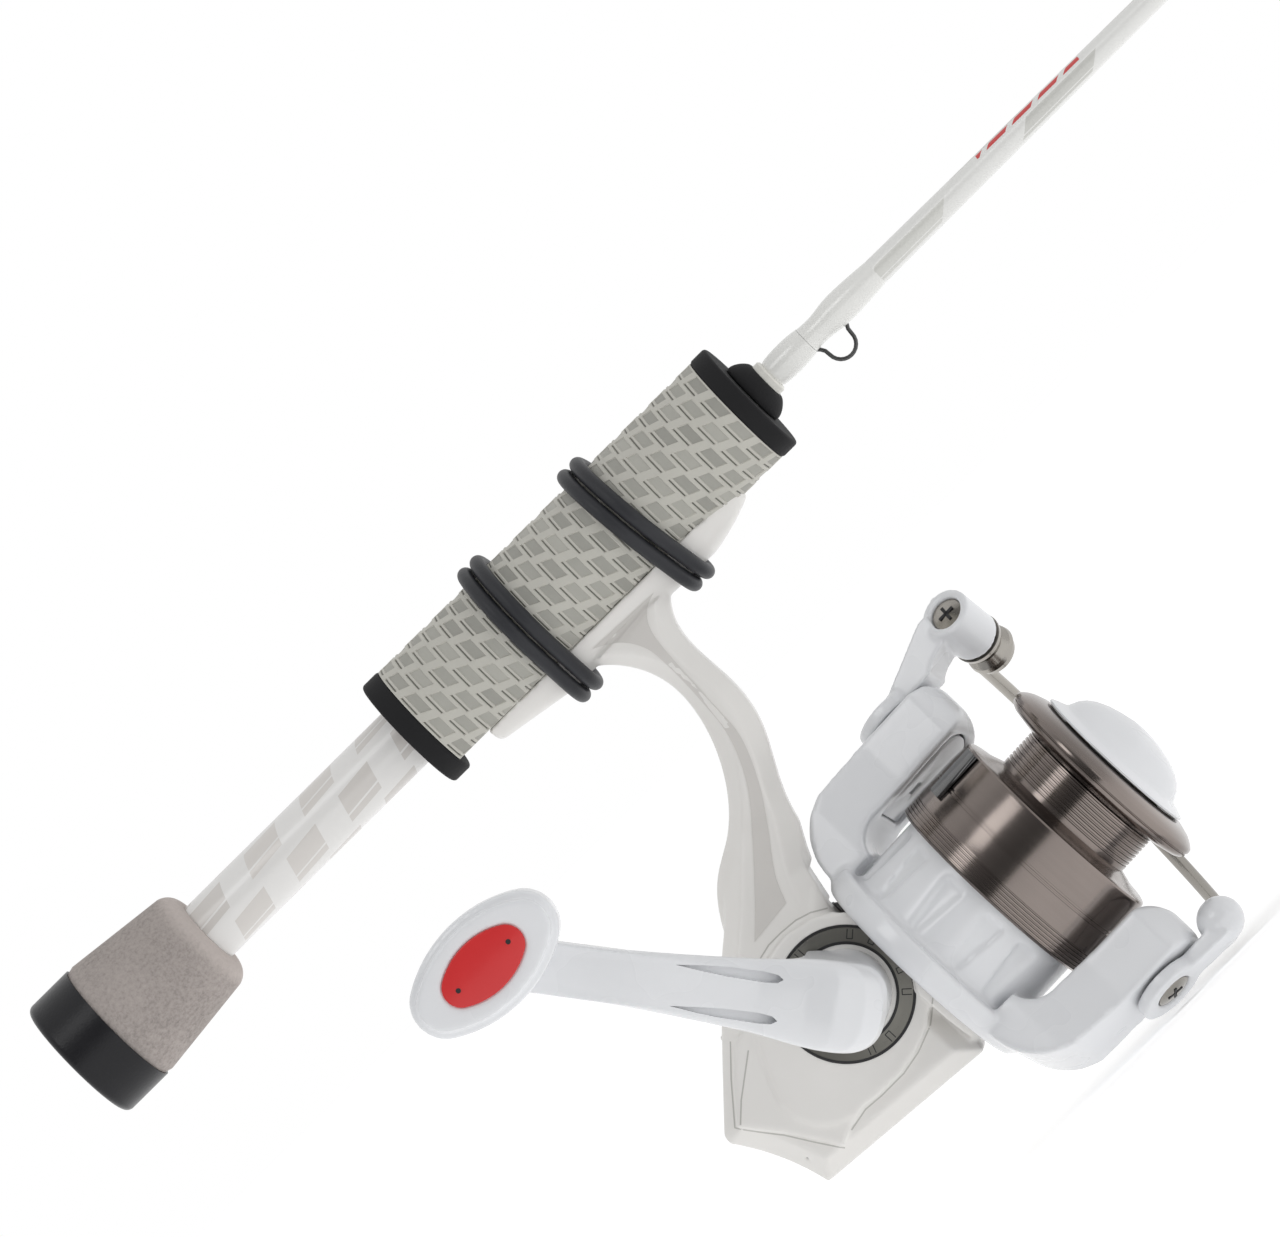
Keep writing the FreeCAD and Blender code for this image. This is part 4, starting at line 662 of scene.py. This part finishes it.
class ROD_OT_grip(Operator):
    """Make the grip sleeve with its relief of staggered cells"""
    bl_idname = "rod.grip"
    bl_label = "Grip sleeve"

    # edges of slot and cell across one column, and of the cells round it, as shares of their pitch
    ACROSS = (0.10, 0.23, 0.33, 0.93)
    ROUND = (0.14, 0.36, 0.64, 0.86)
    # turn of a cell's ends across its column, as a share of the pitch round the grip
    SLANT = 0.26

    def execute(self, context):
        sizes = context.scene.rod_grip
        low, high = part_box("grip_sleeve")
        pitch = (high.x - low.x) / sizes.columns
        places = [low.x]
        for column in range(sizes.columns):
            places += [low.x + (column + share) * pitch for share in self.ACROSS]
        places.append(high.x)
        turn = 2 * math.pi / sizes.cells
        angles = [(cell + share) * turn for cell in range(sizes.cells) for share in self.ROUND]
        angles.append(angles[0] + 2 * math.pi)
        along, around = len(places) - 1, len(angles) - 1
        mesh = bmesh.new()
        bmesh.ops.create_grid(mesh, x_segments=along, y_segments=around, size=1.0)
        kind = self.mark(mesh, along, around)
        self.roll(mesh, places, angles, (high.y - low.y) / 2)
        self.sink(mesh, kind, sizes.depth)
        self.close(mesh)
        self.flatten_seat(mesh)
        sleeve = finish_object(mesh, "grip_relief", smooth=35)
        for material in (FINISHES["sleeve"], cell_print("grip_cell", tuple(sizes.cell_colour)),
                         cell_print("grip_slot", tuple(sizes.slot_colour))):
            sleeve.data.materials.append(material)
        settle(sleeve, "rod", None, ["grip_sleeve"])
        return {"FINISHED"}

    def mark(self, mesh, along, around):
        """Mark the faces of cells with 1 and of slots with 2, before the grid is rolled."""
        kind = mesh.faces.layers.int.new("kind")
        tone = mesh.faces.layers.float.new("tone")
        steps = len(self.ACROSS)
        for face in mesh.faces:
            centre = face.calc_center_median()
            place = int((centre.x + 1) / 2 * along)
            spot = int((centre.y + 1) / 2 * around)
            if place == 0:
                continue
            column, part = divmod(place - 1, steps)
            phase = spot % 4
            # even columns hold the cell in the first three strips of a pitch, odd ones half a pitch on
            shown = phase in ((0, 1, 2) if column % 2 == 0 else (2, 3, 0))
            if part in (0, 2) and shown and place < along - 1:
                face[kind] = 1 if part == 2 else 2
                cell = spot // 4 if column % 2 == 0 else (spot + 2) // 4
                face[tone] = (math.sin(cell * 12.9898 + column * 78.233) * 43758.5453) % 1.0
        return kind

    def roll(self, mesh, places, angles, radius):
        """Bend the grid round the grip and slant its columns."""
        along = len(places) - 1
        around = len(angles) - 1
        steps = len(self.ACROSS)
        turn = angles[len(self.ROUND)] - angles[0]
        for vertex in mesh.verts:
            step = round((vertex.co.x + 1) / 2 * along)
            place = places[step]
            angle = angles[round((vertex.co.y + 1) / 2 * around)]
            if 0 < step < along:
                angle += (self.ACROSS[(step - 1) % steps] - 0.5) * self.SLANT * turn
            vertex.co = (place, radius * math.cos(angle), radius * math.sin(angle))
        bmesh.ops.remove_doubles(mesh, verts=mesh.verts, dist=2.5 * WELD)
        bmesh.ops.recalc_face_normals(mesh, faces=mesh.faces)
        if sum(face.normal.dot(Vector((0, *face.calc_center_median().yz))) for face in mesh.faces) < 0:
            bmesh.ops.reverse_faces(mesh, faces=mesh.faces)

    def sink(self, mesh, kind, depth):
        """Press the cells in, and the slots a little deeper."""
        for number, deep in ((1, depth), (2, depth * 1.2)):
            chosen = [face for face in mesh.faces if face[kind] == number]
            walls = bmesh.ops.inset_region(mesh, faces=chosen, thickness=0.1 * MM, depth=-deep,
                                           use_even_offset=True)
            for face in walls["faces"]:
                face[kind] = 0
            for face in chosen:
                face.material_index = number

    def close(self, mesh):
        """Turn both ends in to the bore and join them."""
        rims = [item for item in mesh.edges if item.is_boundary]
        made = bmesh.ops.extrude_edge_only(mesh, edges=rims)["geom"]
        for vertex in corners_of(made):
            vertex.co.yz = vertex.co.yz * (SLEEVE_BORE / SLEEVE_RADIUS)
        loops = [item for item in made if isinstance(item, bmesh.types.BMEdge) and item.is_boundary]
        bmesh.ops.bridge_loops(mesh, edges=loops)

    def flatten_seat(self, mesh):
        """Cut flat where the reel foot lies."""
        clearance, step = 0.15 * MM, 0.06 * MM
        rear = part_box("reel_housing")[0].x - clearance
        front = rear + SEAT_LENGTH
        for place in (rear, rear + step, front, front + step):
            bmesh.ops.bisect_plane(mesh, geom=[*mesh.verts, *mesh.edges, *mesh.faces], dist=1e-7,
                                   plane_co=(place, 0, 0), plane_no=(1, 0, 0))
        for vertex in mesh.verts:
            if rear + step / 2 < vertex.co.x < front + step / 2 and vertex.co.z < SEAT:
                vertex.co.z = SEAT


# ---------------------------------------------------------------- castings

# CAD node, frame, voxel in millimetres and rounds of smoothing
CASTINGS = [
    ("rotor", ROTOR, 0.40, 6), ("bail_lever_left", ROTOR, 0.30, 5), ("bail_lever_right", ROTOR, 0.28, 6),
    ("crank_knob", ROD, 0.32, 7), ("front_collar", ROD, 0.22, 8)]
# pieces whose edges are only rounded: CAD node and edge radius in millimetres
ROUNDED = [("side_cover", 0.5), ("arm_cover_left", 0.3), ("arm_cover_right", 0.3), ("knob_inlay", 0.2)]
# raised work on the reel's near side, in millimetres along and across the reel
PANEL = [(-60.2, 14.6), (-65.0, 10.4), (-70.2, 4.9), (-67.6, 1.5), (-65.5, -1.4), (-63.1, -5.6),
         (-60.6, -9.7), (-57.7, -8.4), (-54.0, -7.8), (-46, -4), (-44, 8), (-50, 15)]
LOBE = [(-57.9, 11.6), (-61.0, 5.6), (-62.3, 2.2), (-62.5, -0.9), (-61.2, -4.1), (-58.8, -6.3),
        (-55.9, -7.4), (-50.7, -8.3), (-45.6, -8.5), (-41.6, -7.9), (-37.3, -6.4), (-33.4, -3.6),
        (-30.6, 0.6), (-29.4, 5.6), (-30.3, 11.0), (-33.0, 15.6), (-37.2, 18.8), (-42.4, 20.1),
        (-47.8, 19.4), (-52.6, 17.0), (-56.0, 14.4)]
# height of the panel and of the boss's lobe over the side, and how deep both are set in
PANEL_RISE, LOBE_RISE, RELIEF_ROOT = 0.5, 0.92, 0.8

# seams beside the raised work, drawn as grey strips of painted shade: two along the panel, one under the boss and
# one over it
SEAMS = [
    [(-60.9, 14.9), (-65.3, 10.7), (-70.6, 5.0), (-68.0, 1.3), (-65.9, -1.6), (-63.5, -5.8),
     (-60.9, -10.1)],
    [(-59.7, 11.9), (-66.4, 7.3), (-69.4, 4.7)],
    [(-58.0, -8.9), (-54.0, -8.3), (-50.7, -8.7), (-45.6, -8.9), (-41.5, -8.3), (-37.1, -6.8),
     (-33.1, -3.9), (-30.3, 0.4)],
    [(-48.4, 20.3), (-45.2, 20.9), (-42.4, 20.8), (-39.3, 20.4), (-36.8, 19.5), (-33.4, 17.0)]]

# rear and front edge of the flat spine down the stem's side, where a darker strip of painted shade lies
SPINE_REAR = [(-29.7, 73.7), (-26.0, 71.2), (-23.9, 67.7), (-23.5, 63.7), (-24.1, 55.5), (-25.3, 47.9),
              (-29.0, 40.7), (-34.3, 34.7), (-41.3, 27.6), (-46.4, 22.9)]
SPINE_FRONT = [(-16.4, 72.6), (-18.9, 71.7), (-21.0, 69.2), (-22.0, 64.5), (-23.0, 54.3), (-23.9, 47.0),
               (-27.0, 40.3), (-31.2, 34.3), (-36.2, 28.0), (-38.4, 23.4)]


def plate(mesh, outline, low, high, matrix):
    """Add a flat plate to a mesh: its outline in the frame's XZ plane, between two places along its Y."""
    corners = [mesh.verts.new(matrix @ (Vector((x, low, z)) * MM)) for x, z in outline]
    made = bmesh.ops.extrude_face_region(mesh, geom=[mesh.faces.new(corners)])["geom"]
    shift = matrix.to_3x3() @ (Vector((0, high - low, 0)) * MM)
    bmesh.ops.translate(mesh, verts=corners_of(made), vec=shift)
    faces = list({face for corner in corners for face in corner.link_faces})
    bmesh.ops.recalc_face_normals(mesh, faces=faces)


def cast(node, matrix, voxel, rounds, extra=None):
    """Copy of a CAD node as a casting: remeshed square to its own frame, with all edges softened."""
    mesh = copy_of(node)
    if extra:
        extra(mesh)
    bmesh.ops.transform(mesh, matrix=matrix.inverted(), verts=mesh.verts)
    rough = finish_object(mesh, node + "_rough")
    data = with_modifier(rough, "REMESH", mode="VOXEL", voxel_size=voxel * MM)
    bpy.data.objects.remove(rough)
    mesh = bmesh.new()
    mesh.from_mesh(data)
    for _ in range(rounds):
        bmesh.ops.smooth_vert(mesh, verts=mesh.verts, factor=0.5,
                              use_axis_x=True, use_axis_y=True, use_axis_z=True)
    return finish_object(mesh, node + "_cast", matrix, smooth=60)


class ROD_OT_castings(Operator):
    """Soften the moulded and cast pieces and add the raised work on the reel's side"""
    bl_idname = "rod.castings"
    bl_label = "Castings"

    def execute(self, context):
        housing = cast("reel_housing", REEL, 0.38, 2, self.add_relief)
        self.settle_copy(housing, "reel_housing")
        self.add_lines(housing)
        for node, matrix, voxel, rounds in CASTINGS:
            self.settle_copy(cast(node, matrix, voxel, rounds), node)
        for node, edge in ROUNDED:
            self.settle_copy(new_piece_from(node, node + "_cast", edge * MM), node)
        return {"FINISHED"}

    def settle_copy(self, made, node):
        """Put a casting in place of its CAD node, with the node's own body and slot."""
        slot = SLOT_OF[node]
        settle(made, BODY_OF[node], FINISHES[slot], [node])

    def add_lines(self, housing):
        """Grey strips of painted shade along the seams round the raised panel and the boss of the crank, and a
        darker strip of painted shade on the spine of the stem.
        """
        body = bmesh.new()
        body.from_mesh(housing.data)
        tree = BVHTree.FromBMesh(body)
        body.free()
        seam_shade_strips, spine_painted_shade = bmesh.new(), bmesh.new()
        for line in SEAMS:
            self.ribbon(seam_shade_strips, tree, line)
        # a slightly raised strip painted darker, as the shade that falls on the stem's middle flat
        self.strip(spine_painted_shade, tree, zip(smooth_line(SPINE_REAR, 6), smooth_line(SPINE_FRONT, 6)), 0.1)
        for mesh, name, finish, smooth in ((spine_painted_shade, "stem_spine_painted_shade", "spine_painted_shade", 30),
                                           (seam_shade_strips, "housing_seam_shade", "seam_shade", None)):
            bmesh.ops.recalc_face_normals(mesh, faces=mesh.faces)
            settle(finish_object(mesh, name, smooth=smooth), "rod", FINISHES[finish])

    def ribbon(self, mesh, tree, line):
        """Add a grey strip of painted seam shade under a line of the reel's XZ plane."""
        spacing, half = 0.5, 0.12
        points = []
        for (x, z), (next_x, next_z) in zip(line, line[1:]):
            steps = max(int(math.hypot(next_x - x, next_z - z) / spacing), 1)
            points += [(x + (next_x - x) * step / steps, z + (next_z - z) * step / steps)
                       for step in range(steps)]
        points.append(line[-1])
        pairs = []
        for index, (x, z) in enumerate(points):
            before, after = points[max(index - 1, 0)], points[min(index + 1, len(points) - 1)]
            run = Vector((after[0] - before[0], after[1] - before[1])).normalized()
            pairs.append([(x - run.y * side, z + run.x * side) for side in (-half, half)])
        self.strip(mesh, tree, pairs, 0.03)

    def strip(self, mesh, tree, pairs, lift):
        """Add a strip that lies on the surface between pairs of points of the reel's XZ plane."""
        outside, root = -30, 0.15
        rows = []
        toward = REEL.to_3x3() @ Vector((0, 1, 0))
        for pair in pairs:
            row = []
            for x, z in pair:
                hit = tree.ray_cast(REEL @ (Vector((x, outside, z)) * MM), toward)[0]
                if hit is not None:
                    row += [mesh.verts.new(hit + toward * depth * MM) for depth in (-lift, root)]
            if len(row) == 4:
                rows.append(row)
        for first, second in zip(rows, rows[1:]):
            for low, high in ((0, 2), (2, 3), (3, 1), (1, 0)):
                mesh.faces.new((first[low], first[high], second[high], second[low]))
        for row in (rows[0], rows[-1]):
            mesh.faces.new((row[0], row[1], row[3], row[2]))

    def add_relief(self, mesh):
        """Raise the panel and the boss's lobe on the near side."""
        face = HOUSING_FACE / MM
        for outline, rise in ((PANEL, PANEL_RISE), (LOBE, LOBE_RISE)):
            plate(mesh, outline, face - rise, face + RELIEF_ROOT, REEL)


# ---------------------------------------------------------------- spool

# turn of the line clip on the skirt, to stand clear of the rotor's arm
CLIP_TURN = math.radians(12)


class ROD_OT_spool(Operator):
    """Turn the spool skirt, arbor and lip with their grooves"""
    bl_idname = "rod.spool"
    bl_label = "Spool"

    # CAD node, steps round it and profile
    TURNED = [
        ("spool_skirt", 160, [
            (-15.5, 18.15), (-3, 18.15), (-3, 2.0), (0, 2.0), (0, 12.9), (1.3, 12.9), (0.9, 14.2),
            (0.45, 15.6), (0.15, 17.0), (0.0, 18.3), (-0.15, 18.75), (-0.45, 19.0), (-0.9, 19.06),
            (-6.6, 19.12), (-6.65, 18.92), (-6.95, 18.92), (-7.0, 19.14), (-7.25, 19.14), (-7.3, 18.94),
            (-7.55, 18.94), (-7.6, 19.16), (-11.4, 19.24), *grooved(-11.5, -15.1, 19.26, 0.22, 6, 19.34),
            (-15.5, 18.9)]),
        ("spool_arbor", 128, [
            (0.02, 2.0), (11.9, 2.0), (11.9, 10), (8.0, 10), *reversed(grooved(1.9, 7.9, 12.95, 0.28, 8)),
            (1.42, 12.9), (0.02, 12.8)]),
        ("spool_lip", 160, [
            (8.02, 10.05), (12.7, 10.05), (13.3, 13.4), (13.0, 15.2), (12.45, 16.9), (12.0, 17.7),
            (11.55, 18.3), (11.2, 18.65), (10.85, 18.75), (10.4, 18.72), (10.3, 18.45), (10.15, 18.4),
            (10.05, 18.6), (9.7, 18.5), (9.3, 18.15), (8.95, 17.5), (8.6, 15.8), (8.3, 14.3),
            (8.02, 13.0)])]

    def execute(self, context):
        for node, steps, profile in self.TURNED:
            piece = finish_object(lathe(profile, steps), node + "_turned", REEL, smooth=30)
            settle(piece, "spool", FINISHES["champagne"], [node])
        clip = copy_of("line_clip")
        turn = REEL @ Matrix.Rotation(CLIP_TURN, 4, "X") @ REEL.inverted()
        bmesh.ops.transform(clip, matrix=turn, verts=clip.verts)
        piece = finish_object(clip, "line_clip_tab", smooth=40)
        settle(piece, "spool", FINISHES["black_gloss"], ["line_clip"])
        return {"FINISHED"}


# ---------------------------------------------------------------- crank and bands

class ROD_OT_crank(Operator):
    """Shape the crank arm as one bent casting with its two tapered slots"""
    bl_idname = "rod.crank"
    bl_label = "Crank"

    # distance out, height, half width, half thickness and tilt in degrees, along the arm's centre line
    STATIONS = [
        (0, 18.0, 7.3, 7.3, 90), (0, 23.0, 7.3, 7.3, 90), (0.3, 25.2, 7.3, 7.1, 78),
        (1.4, 26.6, 7.3, 6.3, 58), (3.6, 27.4, 7.2, 5.0, 38), (6.8, 27.6, 6.9, 3.6, 24),
        (10, 28.2, 6.4, 2.9, 16), (14, 28.6, 5.9, 2.5, 14), (20, 30.1, 5.4, 2.3, 14),
        (27, 31.9, 4.9, 2.2, 14), (34, 33.7, 4.5, 2.1, 14), (42, 35.7, 4.2, 2.1, 14),
        (50, 37.5, 4.1, 2.1, 13), (55.6, 38.8, 4.1, 2.0, 12)]
    # corners round the arm, and the power that squares off its oval section
    CORNERS, SQUARENESS = 32, 0.75
    # one slot's outline along and across the arm, its shallow end, and the height and slope of its floor
    SLOT = [(26.5, 3.3), (22, 3.85), (18, 4.1), (12.5, 4.15), (10.3, 3.95), (9.4, 3.3), (10.3, 2.65),
            (12.5, 2.45), (18, 2.55), (22, 2.85)]
    FLOOR_START, FLOOR_HEIGHT, FLOOR_SLOPE = 9.2, 28.6, 0.235

    def execute(self, context):
        made = cast("crank_arm", ARM, 0.3, 6, self.add_body)
        self.cut_slots(made)
        made.data.shade_smooth()
        settle(made, "crank", FINISHES["pearl"], ["crank_arm"])
        return {"FINISHED"}

    def squared(self, amount):
        return math.copysign(abs(amount) ** self.SQUARENESS, amount)

    def add_body(self, mesh):
        """Add the arm's bent bar, from ring to ring along its stations."""
        loops = []
        for out, rise, width, thick, tilt in self.STATIONS:
            lean = math.radians(tilt)
            ring = []
            for step in range(self.CORNERS):
                turn = 2 * math.pi * step / self.CORNERS
                side = self.squared(math.cos(turn)) * width
                depth = self.squared(math.sin(turn)) * thick
                place = Vector((out - math.sin(lean) * depth, side, rise + math.cos(lean) * depth))
                ring.append(mesh.verts.new(ARM @ (place * MM)))
            loops.append(ring)
        made = [mesh.faces.new(loops[0]), mesh.faces.new(loops[-1])]
        for first, second in zip(loops, loops[1:]):
            for index in range(self.CORNERS):
                after = (index + 1) % self.CORNERS
                made.append(mesh.faces.new((first[index], first[after], second[after], second[index])))
        bmesh.ops.recalc_face_normals(mesh, faces=made)

    def cut_slots(self, arm):
        """Slots that are round at the hub and run out to a point."""
        cutter = bmesh.new()
        lift = ARM.to_3x3() @ Vector((0, 0, 0.02))
        for side in (-1, 1):
            floor = []
            for x, y in self.SLOT:
                height = self.FLOOR_HEIGHT + (x - self.FLOOR_START) * self.FLOOR_SLOPE
                floor.append(cutter.verts.new(ARM @ (Vector((x, side * y, height)) * MM)))
            made = bmesh.ops.extrude_face_region(cutter, geom=[cutter.faces.new(floor)])["geom"]
            bmesh.ops.translate(cutter, verts=corners_of(made), vec=lift)
        bmesh.ops.recalc_face_normals(cutter, faces=cutter.faces)
        tool = finish_object(cutter, "slot_cutter")
        data = with_modifier(arm, "BOOLEAN", operation="DIFFERENCE", solver="EXACT", object=tool)
        arm.modifiers.clear()
        arm.data = data
        data.set_sharp_from_angle(angle=math.radians(50))
        bpy.data.objects.remove(tool)


class ROD_OT_bands(Operator):
    """Set the rubber bands close together in pairs, leaning towards the tip"""
    bl_idname = "rod.bands"
    bl_label = "Bands"

    SWELL = 0.1 * MM

    def execute(self, context):
        for node in ("rear_bands", "front_bands"):
            low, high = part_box(node)
            mesh = copy_of(node)
            mesh.normal_update()
            for vertex in mesh.verts:
                vertex.co += vertex.normal * self.SWELL
                vertex.co.x = low.x + high.x - vertex.co.x
            bmesh.ops.reverse_faces(mesh, faces=mesh.faces)
            piece = finish_object(mesh, node + "_pair", smooth=60)
            settle(piece, "rod", FINISHES["bands"], [node])
        return {"FINISHED"}


# ---------------------------------------------------------------- wraps and keeper

def sweep(mesh, points, radius, segments=16):
    """Add a round wire along points given in metres."""
    points = [Vector(point) for point in points]
    loops = []
    for index, point in enumerate(points):
        ahead = points[min(index + 1, len(points) - 1)] - points[max(index - 1, 0)]
        turn = ahead.to_track_quat("Z", "Y").to_matrix().to_4x4()
        ring = bmesh.ops.create_circle(mesh, segments=segments, radius=radius, cap_ends=False,
                                       matrix=Matrix.Translation(point) @ turn)["verts"]
        loops.append(list({edge for corner in ring for edge in corner.link_edges}))
    for first, second in zip(loops, loops[1:]):
        bmesh.ops.bridge_loops(mesh, edges=first + second)
    for ends in (loops[0], loops[-1]):
        bmesh.ops.contextual_create(mesh, geom=ends)
    bmesh.ops.recalc_face_normals(mesh, faces=mesh.faces)


class ROD_OT_wraps(Operator):
    """Make the swelled coated wraps in front of the grip and the hook keeper they hold"""
    bl_idname = "rod.wraps"
    bl_label = "Wraps and keeper"

    def execute(self, context):
        rear = [(157.5, 2.35), (158.4, 2.62), (160.5, 2.78), (163.0, 2.76), (165.3, 2.5)]
        front = [(165.35, 2.42), (167.0, 2.3), (168.8, 2.36), (171.0, 2.68), (173.0, 2.78), (176.0, 2.7),
                 (180.0, 2.42), (181.5, 2.27)]
        for node, outline, bore in (("rear_wrap", rear, (2.15, 2.15)), ("front_wrap", front, (2.15, 2.2))):
            shape = [(outline[0][0], bore[0]), *smooth_line(outline, 4), (outline[-1][0], bore[1])]
            piece = finish_object(lathe(shape, 64), node + "_coated", smooth=50)
            settle(piece, "rod", FINISHES["thread"], [node])
        low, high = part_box("hook_keeper")
        middle = (low.x + high.x) / 2
        half = 2.45 * MM
        path = [(middle - 1.36 * half, 0, -2.2 * MM), (middle - 1.2 * half, 0, -2.62 * MM),
                (middle - 1.04 * half, 0, -3.3 * MM)]
        floor = low.z + 0.36 * MM + half
        for step in range(13):
            angle = math.pi * step / 12
            path.append((middle - half * math.cos(angle), 0, floor - half * math.sin(angle)))
        path += [(2 * middle - x, y, z) for x, y, z in reversed(path[:3])]
        mesh = bmesh.new()
        sweep(mesh, path, 0.34 * MM)
        settle(finish_object(mesh, "keeper_loop", smooth=40), "rod", FINISHES["wire_dark"],
               ["hook_keeper"])
        return {"FINISHED"}


# ---------------------------------------------------------------- small trim

def cross_slot(name, matrix, reach, body):
    """Cross recess of a screw head, drawn as a black cross of painted shadow on the head."""
    mesh = bmesh.new()
    for size in ((0.1, reach * 2, reach * 0.36), (0.1, reach * 0.36, reach * 2)):
        box(mesh, (0, 0, 0), size)
    settle(finish_object(mesh, name, matrix), body, FINISHES["recess"])


class ROD_OT_trim(Operator):
    """Add screw crosses, bezel rings and marks, and the dots of the knob's inlay"""
    bl_idname = "rod.trim"
    bl_label = "Small trim"

    def execute(self, context):
        self.add_bezel()
        self.add_inlay()
        self.add_dome()
        self.add_crosses()
        return {"FINISHED"}

    def add_dome(self):
        """Drag knob: a flared base under a smooth oval dome."""
        dome = lathe([
            (7.4, 4.6), (12.9, 4.6), (13.45, 9.6), (13.45, 13.6), (13.6, 14.15), (13.9, 14.15),
            (14.1, 13.7), (14.5, 12.6), (14.75, 11.9), (15.0, 11.5), (15.6, 11.2), (16.6, 10.7),
            (17.6, 9.8), (18.5, 8.5), (19.3, 6.6), (19.9, 4.3), (20.3, 2.1), (20.42, 0.0), (7.4, 0.0)], 96)
        # the round base passes into the oval over this length, and narrows by this share
        start, length, narrowing = 14.6, 3.0, 0.2
        for vertex in dome.verts:
            rise = min(max((vertex.co.x / MM - start) / length, 0.0), 1.0)
            vertex.co.y *= 1 - narrowing * rise * rise * (3 - 2 * rise)
        piece = finish_object(dome, "drag_knob_dome", REEL, smooth=40)
        settle(piece, "drag", FINISHES["pearl"], ["drag_knob"])

    def add_crosses(self):
        """Cross recesses in the heads of the roller and pivot screws, as black crosses of painted shadow."""
        proud, size = 0.02 * MM, 1.5
        axis = Vector(JOINTS["roller_spin"]["axis"]).normalized()
        if axis.y > 0:
            axis = -axis
        points = [vertex.co for vertex in frame["nodes"]["roller_screw"].data.vertices]
        top = max(point.dot(axis) for point in points)
        centre = Vector(JOINTS["roller_spin"]["pos_m"])
        head = centre + axis * (top - centre.dot(axis) + proud)
        cross_slot("roller_screw_cross", frame_of(head, axis, (1, 0, 0)), size, "bail")
        screws = frame["nodes"]["pivot_screws"].data.vertices
        reach = max((ROTOR.inverted() @ vertex.co).z for vertex in screws)
        pivot = ROTOR.inverted() @ Vector(JOINTS["bail_swing"]["pos_m"])
        for name, side in (("pivot_cross_left", 1), ("pivot_cross_right", -1)):
            place = ROTOR @ Vector((pivot.x, pivot.y, side * (reach + proud)))
            out = ROTOR.to_3x3() @ Vector((0, 0, side))
            turned = ROTOR.to_3x3() @ Vector((1, 0.4, 0))
            cross_slot(name, frame_of(place, out, turned), size, "rotor")

    def add_bezel(self):
        """Two dark lines round the bezel, and generic pairs of marks between them."""
        face = frame_of(CRANK_FACE, (0, -1, 0), (1, 0, 0))
        for name, inner, outer in (("bezel_outer_line", 10.75, 11.19), ("bezel_inner_line", 8.02, 8.5)):
            ring = lathe([(0.75, inner), (1.03, inner), (1.03, outer), (0.75, outer)], 128)
            settle(finish_object(ring, name, face, smooth=30), "rod", FINISHES["recess"])
        marks = bmesh.new()
        for angle in (20, 42, 95, 165, 187, 250, 272, 318, 340):
            turn = Matrix.Rotation(math.radians(angle), 4, "X")
            for side in (-0.45, 0.45):
                box(marks, (1.0, 9.7, side), (0.08, 1.6, 0.17), turn)
            box(marks, (1.0, 8.95, 0), (0.08, 0.17, 0.9), turn)
        settle(finish_object(marks, "bezel_marks", face), "rod", FINISHES["recess"])

    def add_inlay(self):
        """A small dark dot at each end of the knob's inlay."""
        reach, radius, height = 5.5 * MM, 0.42 * MM, 0.12 * MM
        dots = bmesh.new()
        for side in (1, -1):
            centre = (KNOB_CENTRE.x + side * reach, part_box("knob_inlay")[0].y, KNOB_CENTRE.z)
            turn = Matrix.Translation(centre) @ Matrix.Rotation(math.radians(90), 4, "X")
            bmesh.ops.create_cone(dots, cap_ends=True, segments=24, radius1=radius, radius2=radius,
                                  depth=height, matrix=turn)
        settle(finish_object(dots, "inlay_dots", smooth=30), BODY_OF["knob_inlay"], FINISHES["recess"])


# ---------------------------------------------------------------- panel and registration

class ROD_PT_panel(Panel):
    """Sidebar panel with every step of the model"""
    bl_idname = "ROD_PT_panel"
    bl_label = "Ice Fishing Rod"
    bl_space_type = "VIEW_3D"
    bl_region_type = "UI"
    bl_category = "Rod"

    def draw(self, context):
        for operator in OPERATORS:
            self.layout.operator(operator.bl_idname)


OPERATORS = [ROD_OT_stage, ROD_OT_finishes, ROD_OT_grip, ROD_OT_wraps, ROD_OT_castings, ROD_OT_spool,
             ROD_OT_crank, ROD_OT_bands, ROD_OT_trim]
GROUPS = {"rod_stage": RodStage, "rod_colours": RodColours, "rod_grip": GripSizes}


def register():
    for group in GROUPS.values():
        bpy.utils.register_class(group)
    for name, group in GROUPS.items():
        setattr(bpy.types.Scene, name, PointerProperty(type=group))
    for item in [*OPERATORS, ROD_PT_panel]:
        bpy.utils.register_class(item)


def unregister():
    for item in reversed([*OPERATORS, ROD_PT_panel]):
        bpy.utils.unregister_class(item)
    for name in GROUPS:
        delattr(bpy.types.Scene, name)
    for group in GROUPS.values():
        bpy.utils.unregister_class(group)


def main():
    register()
    for operator in OPERATORS:
        category, call = operator.bl_idname.split(".")
        getattr(getattr(bpy.ops, category), call)()


if __name__ == "__main__":
    main()
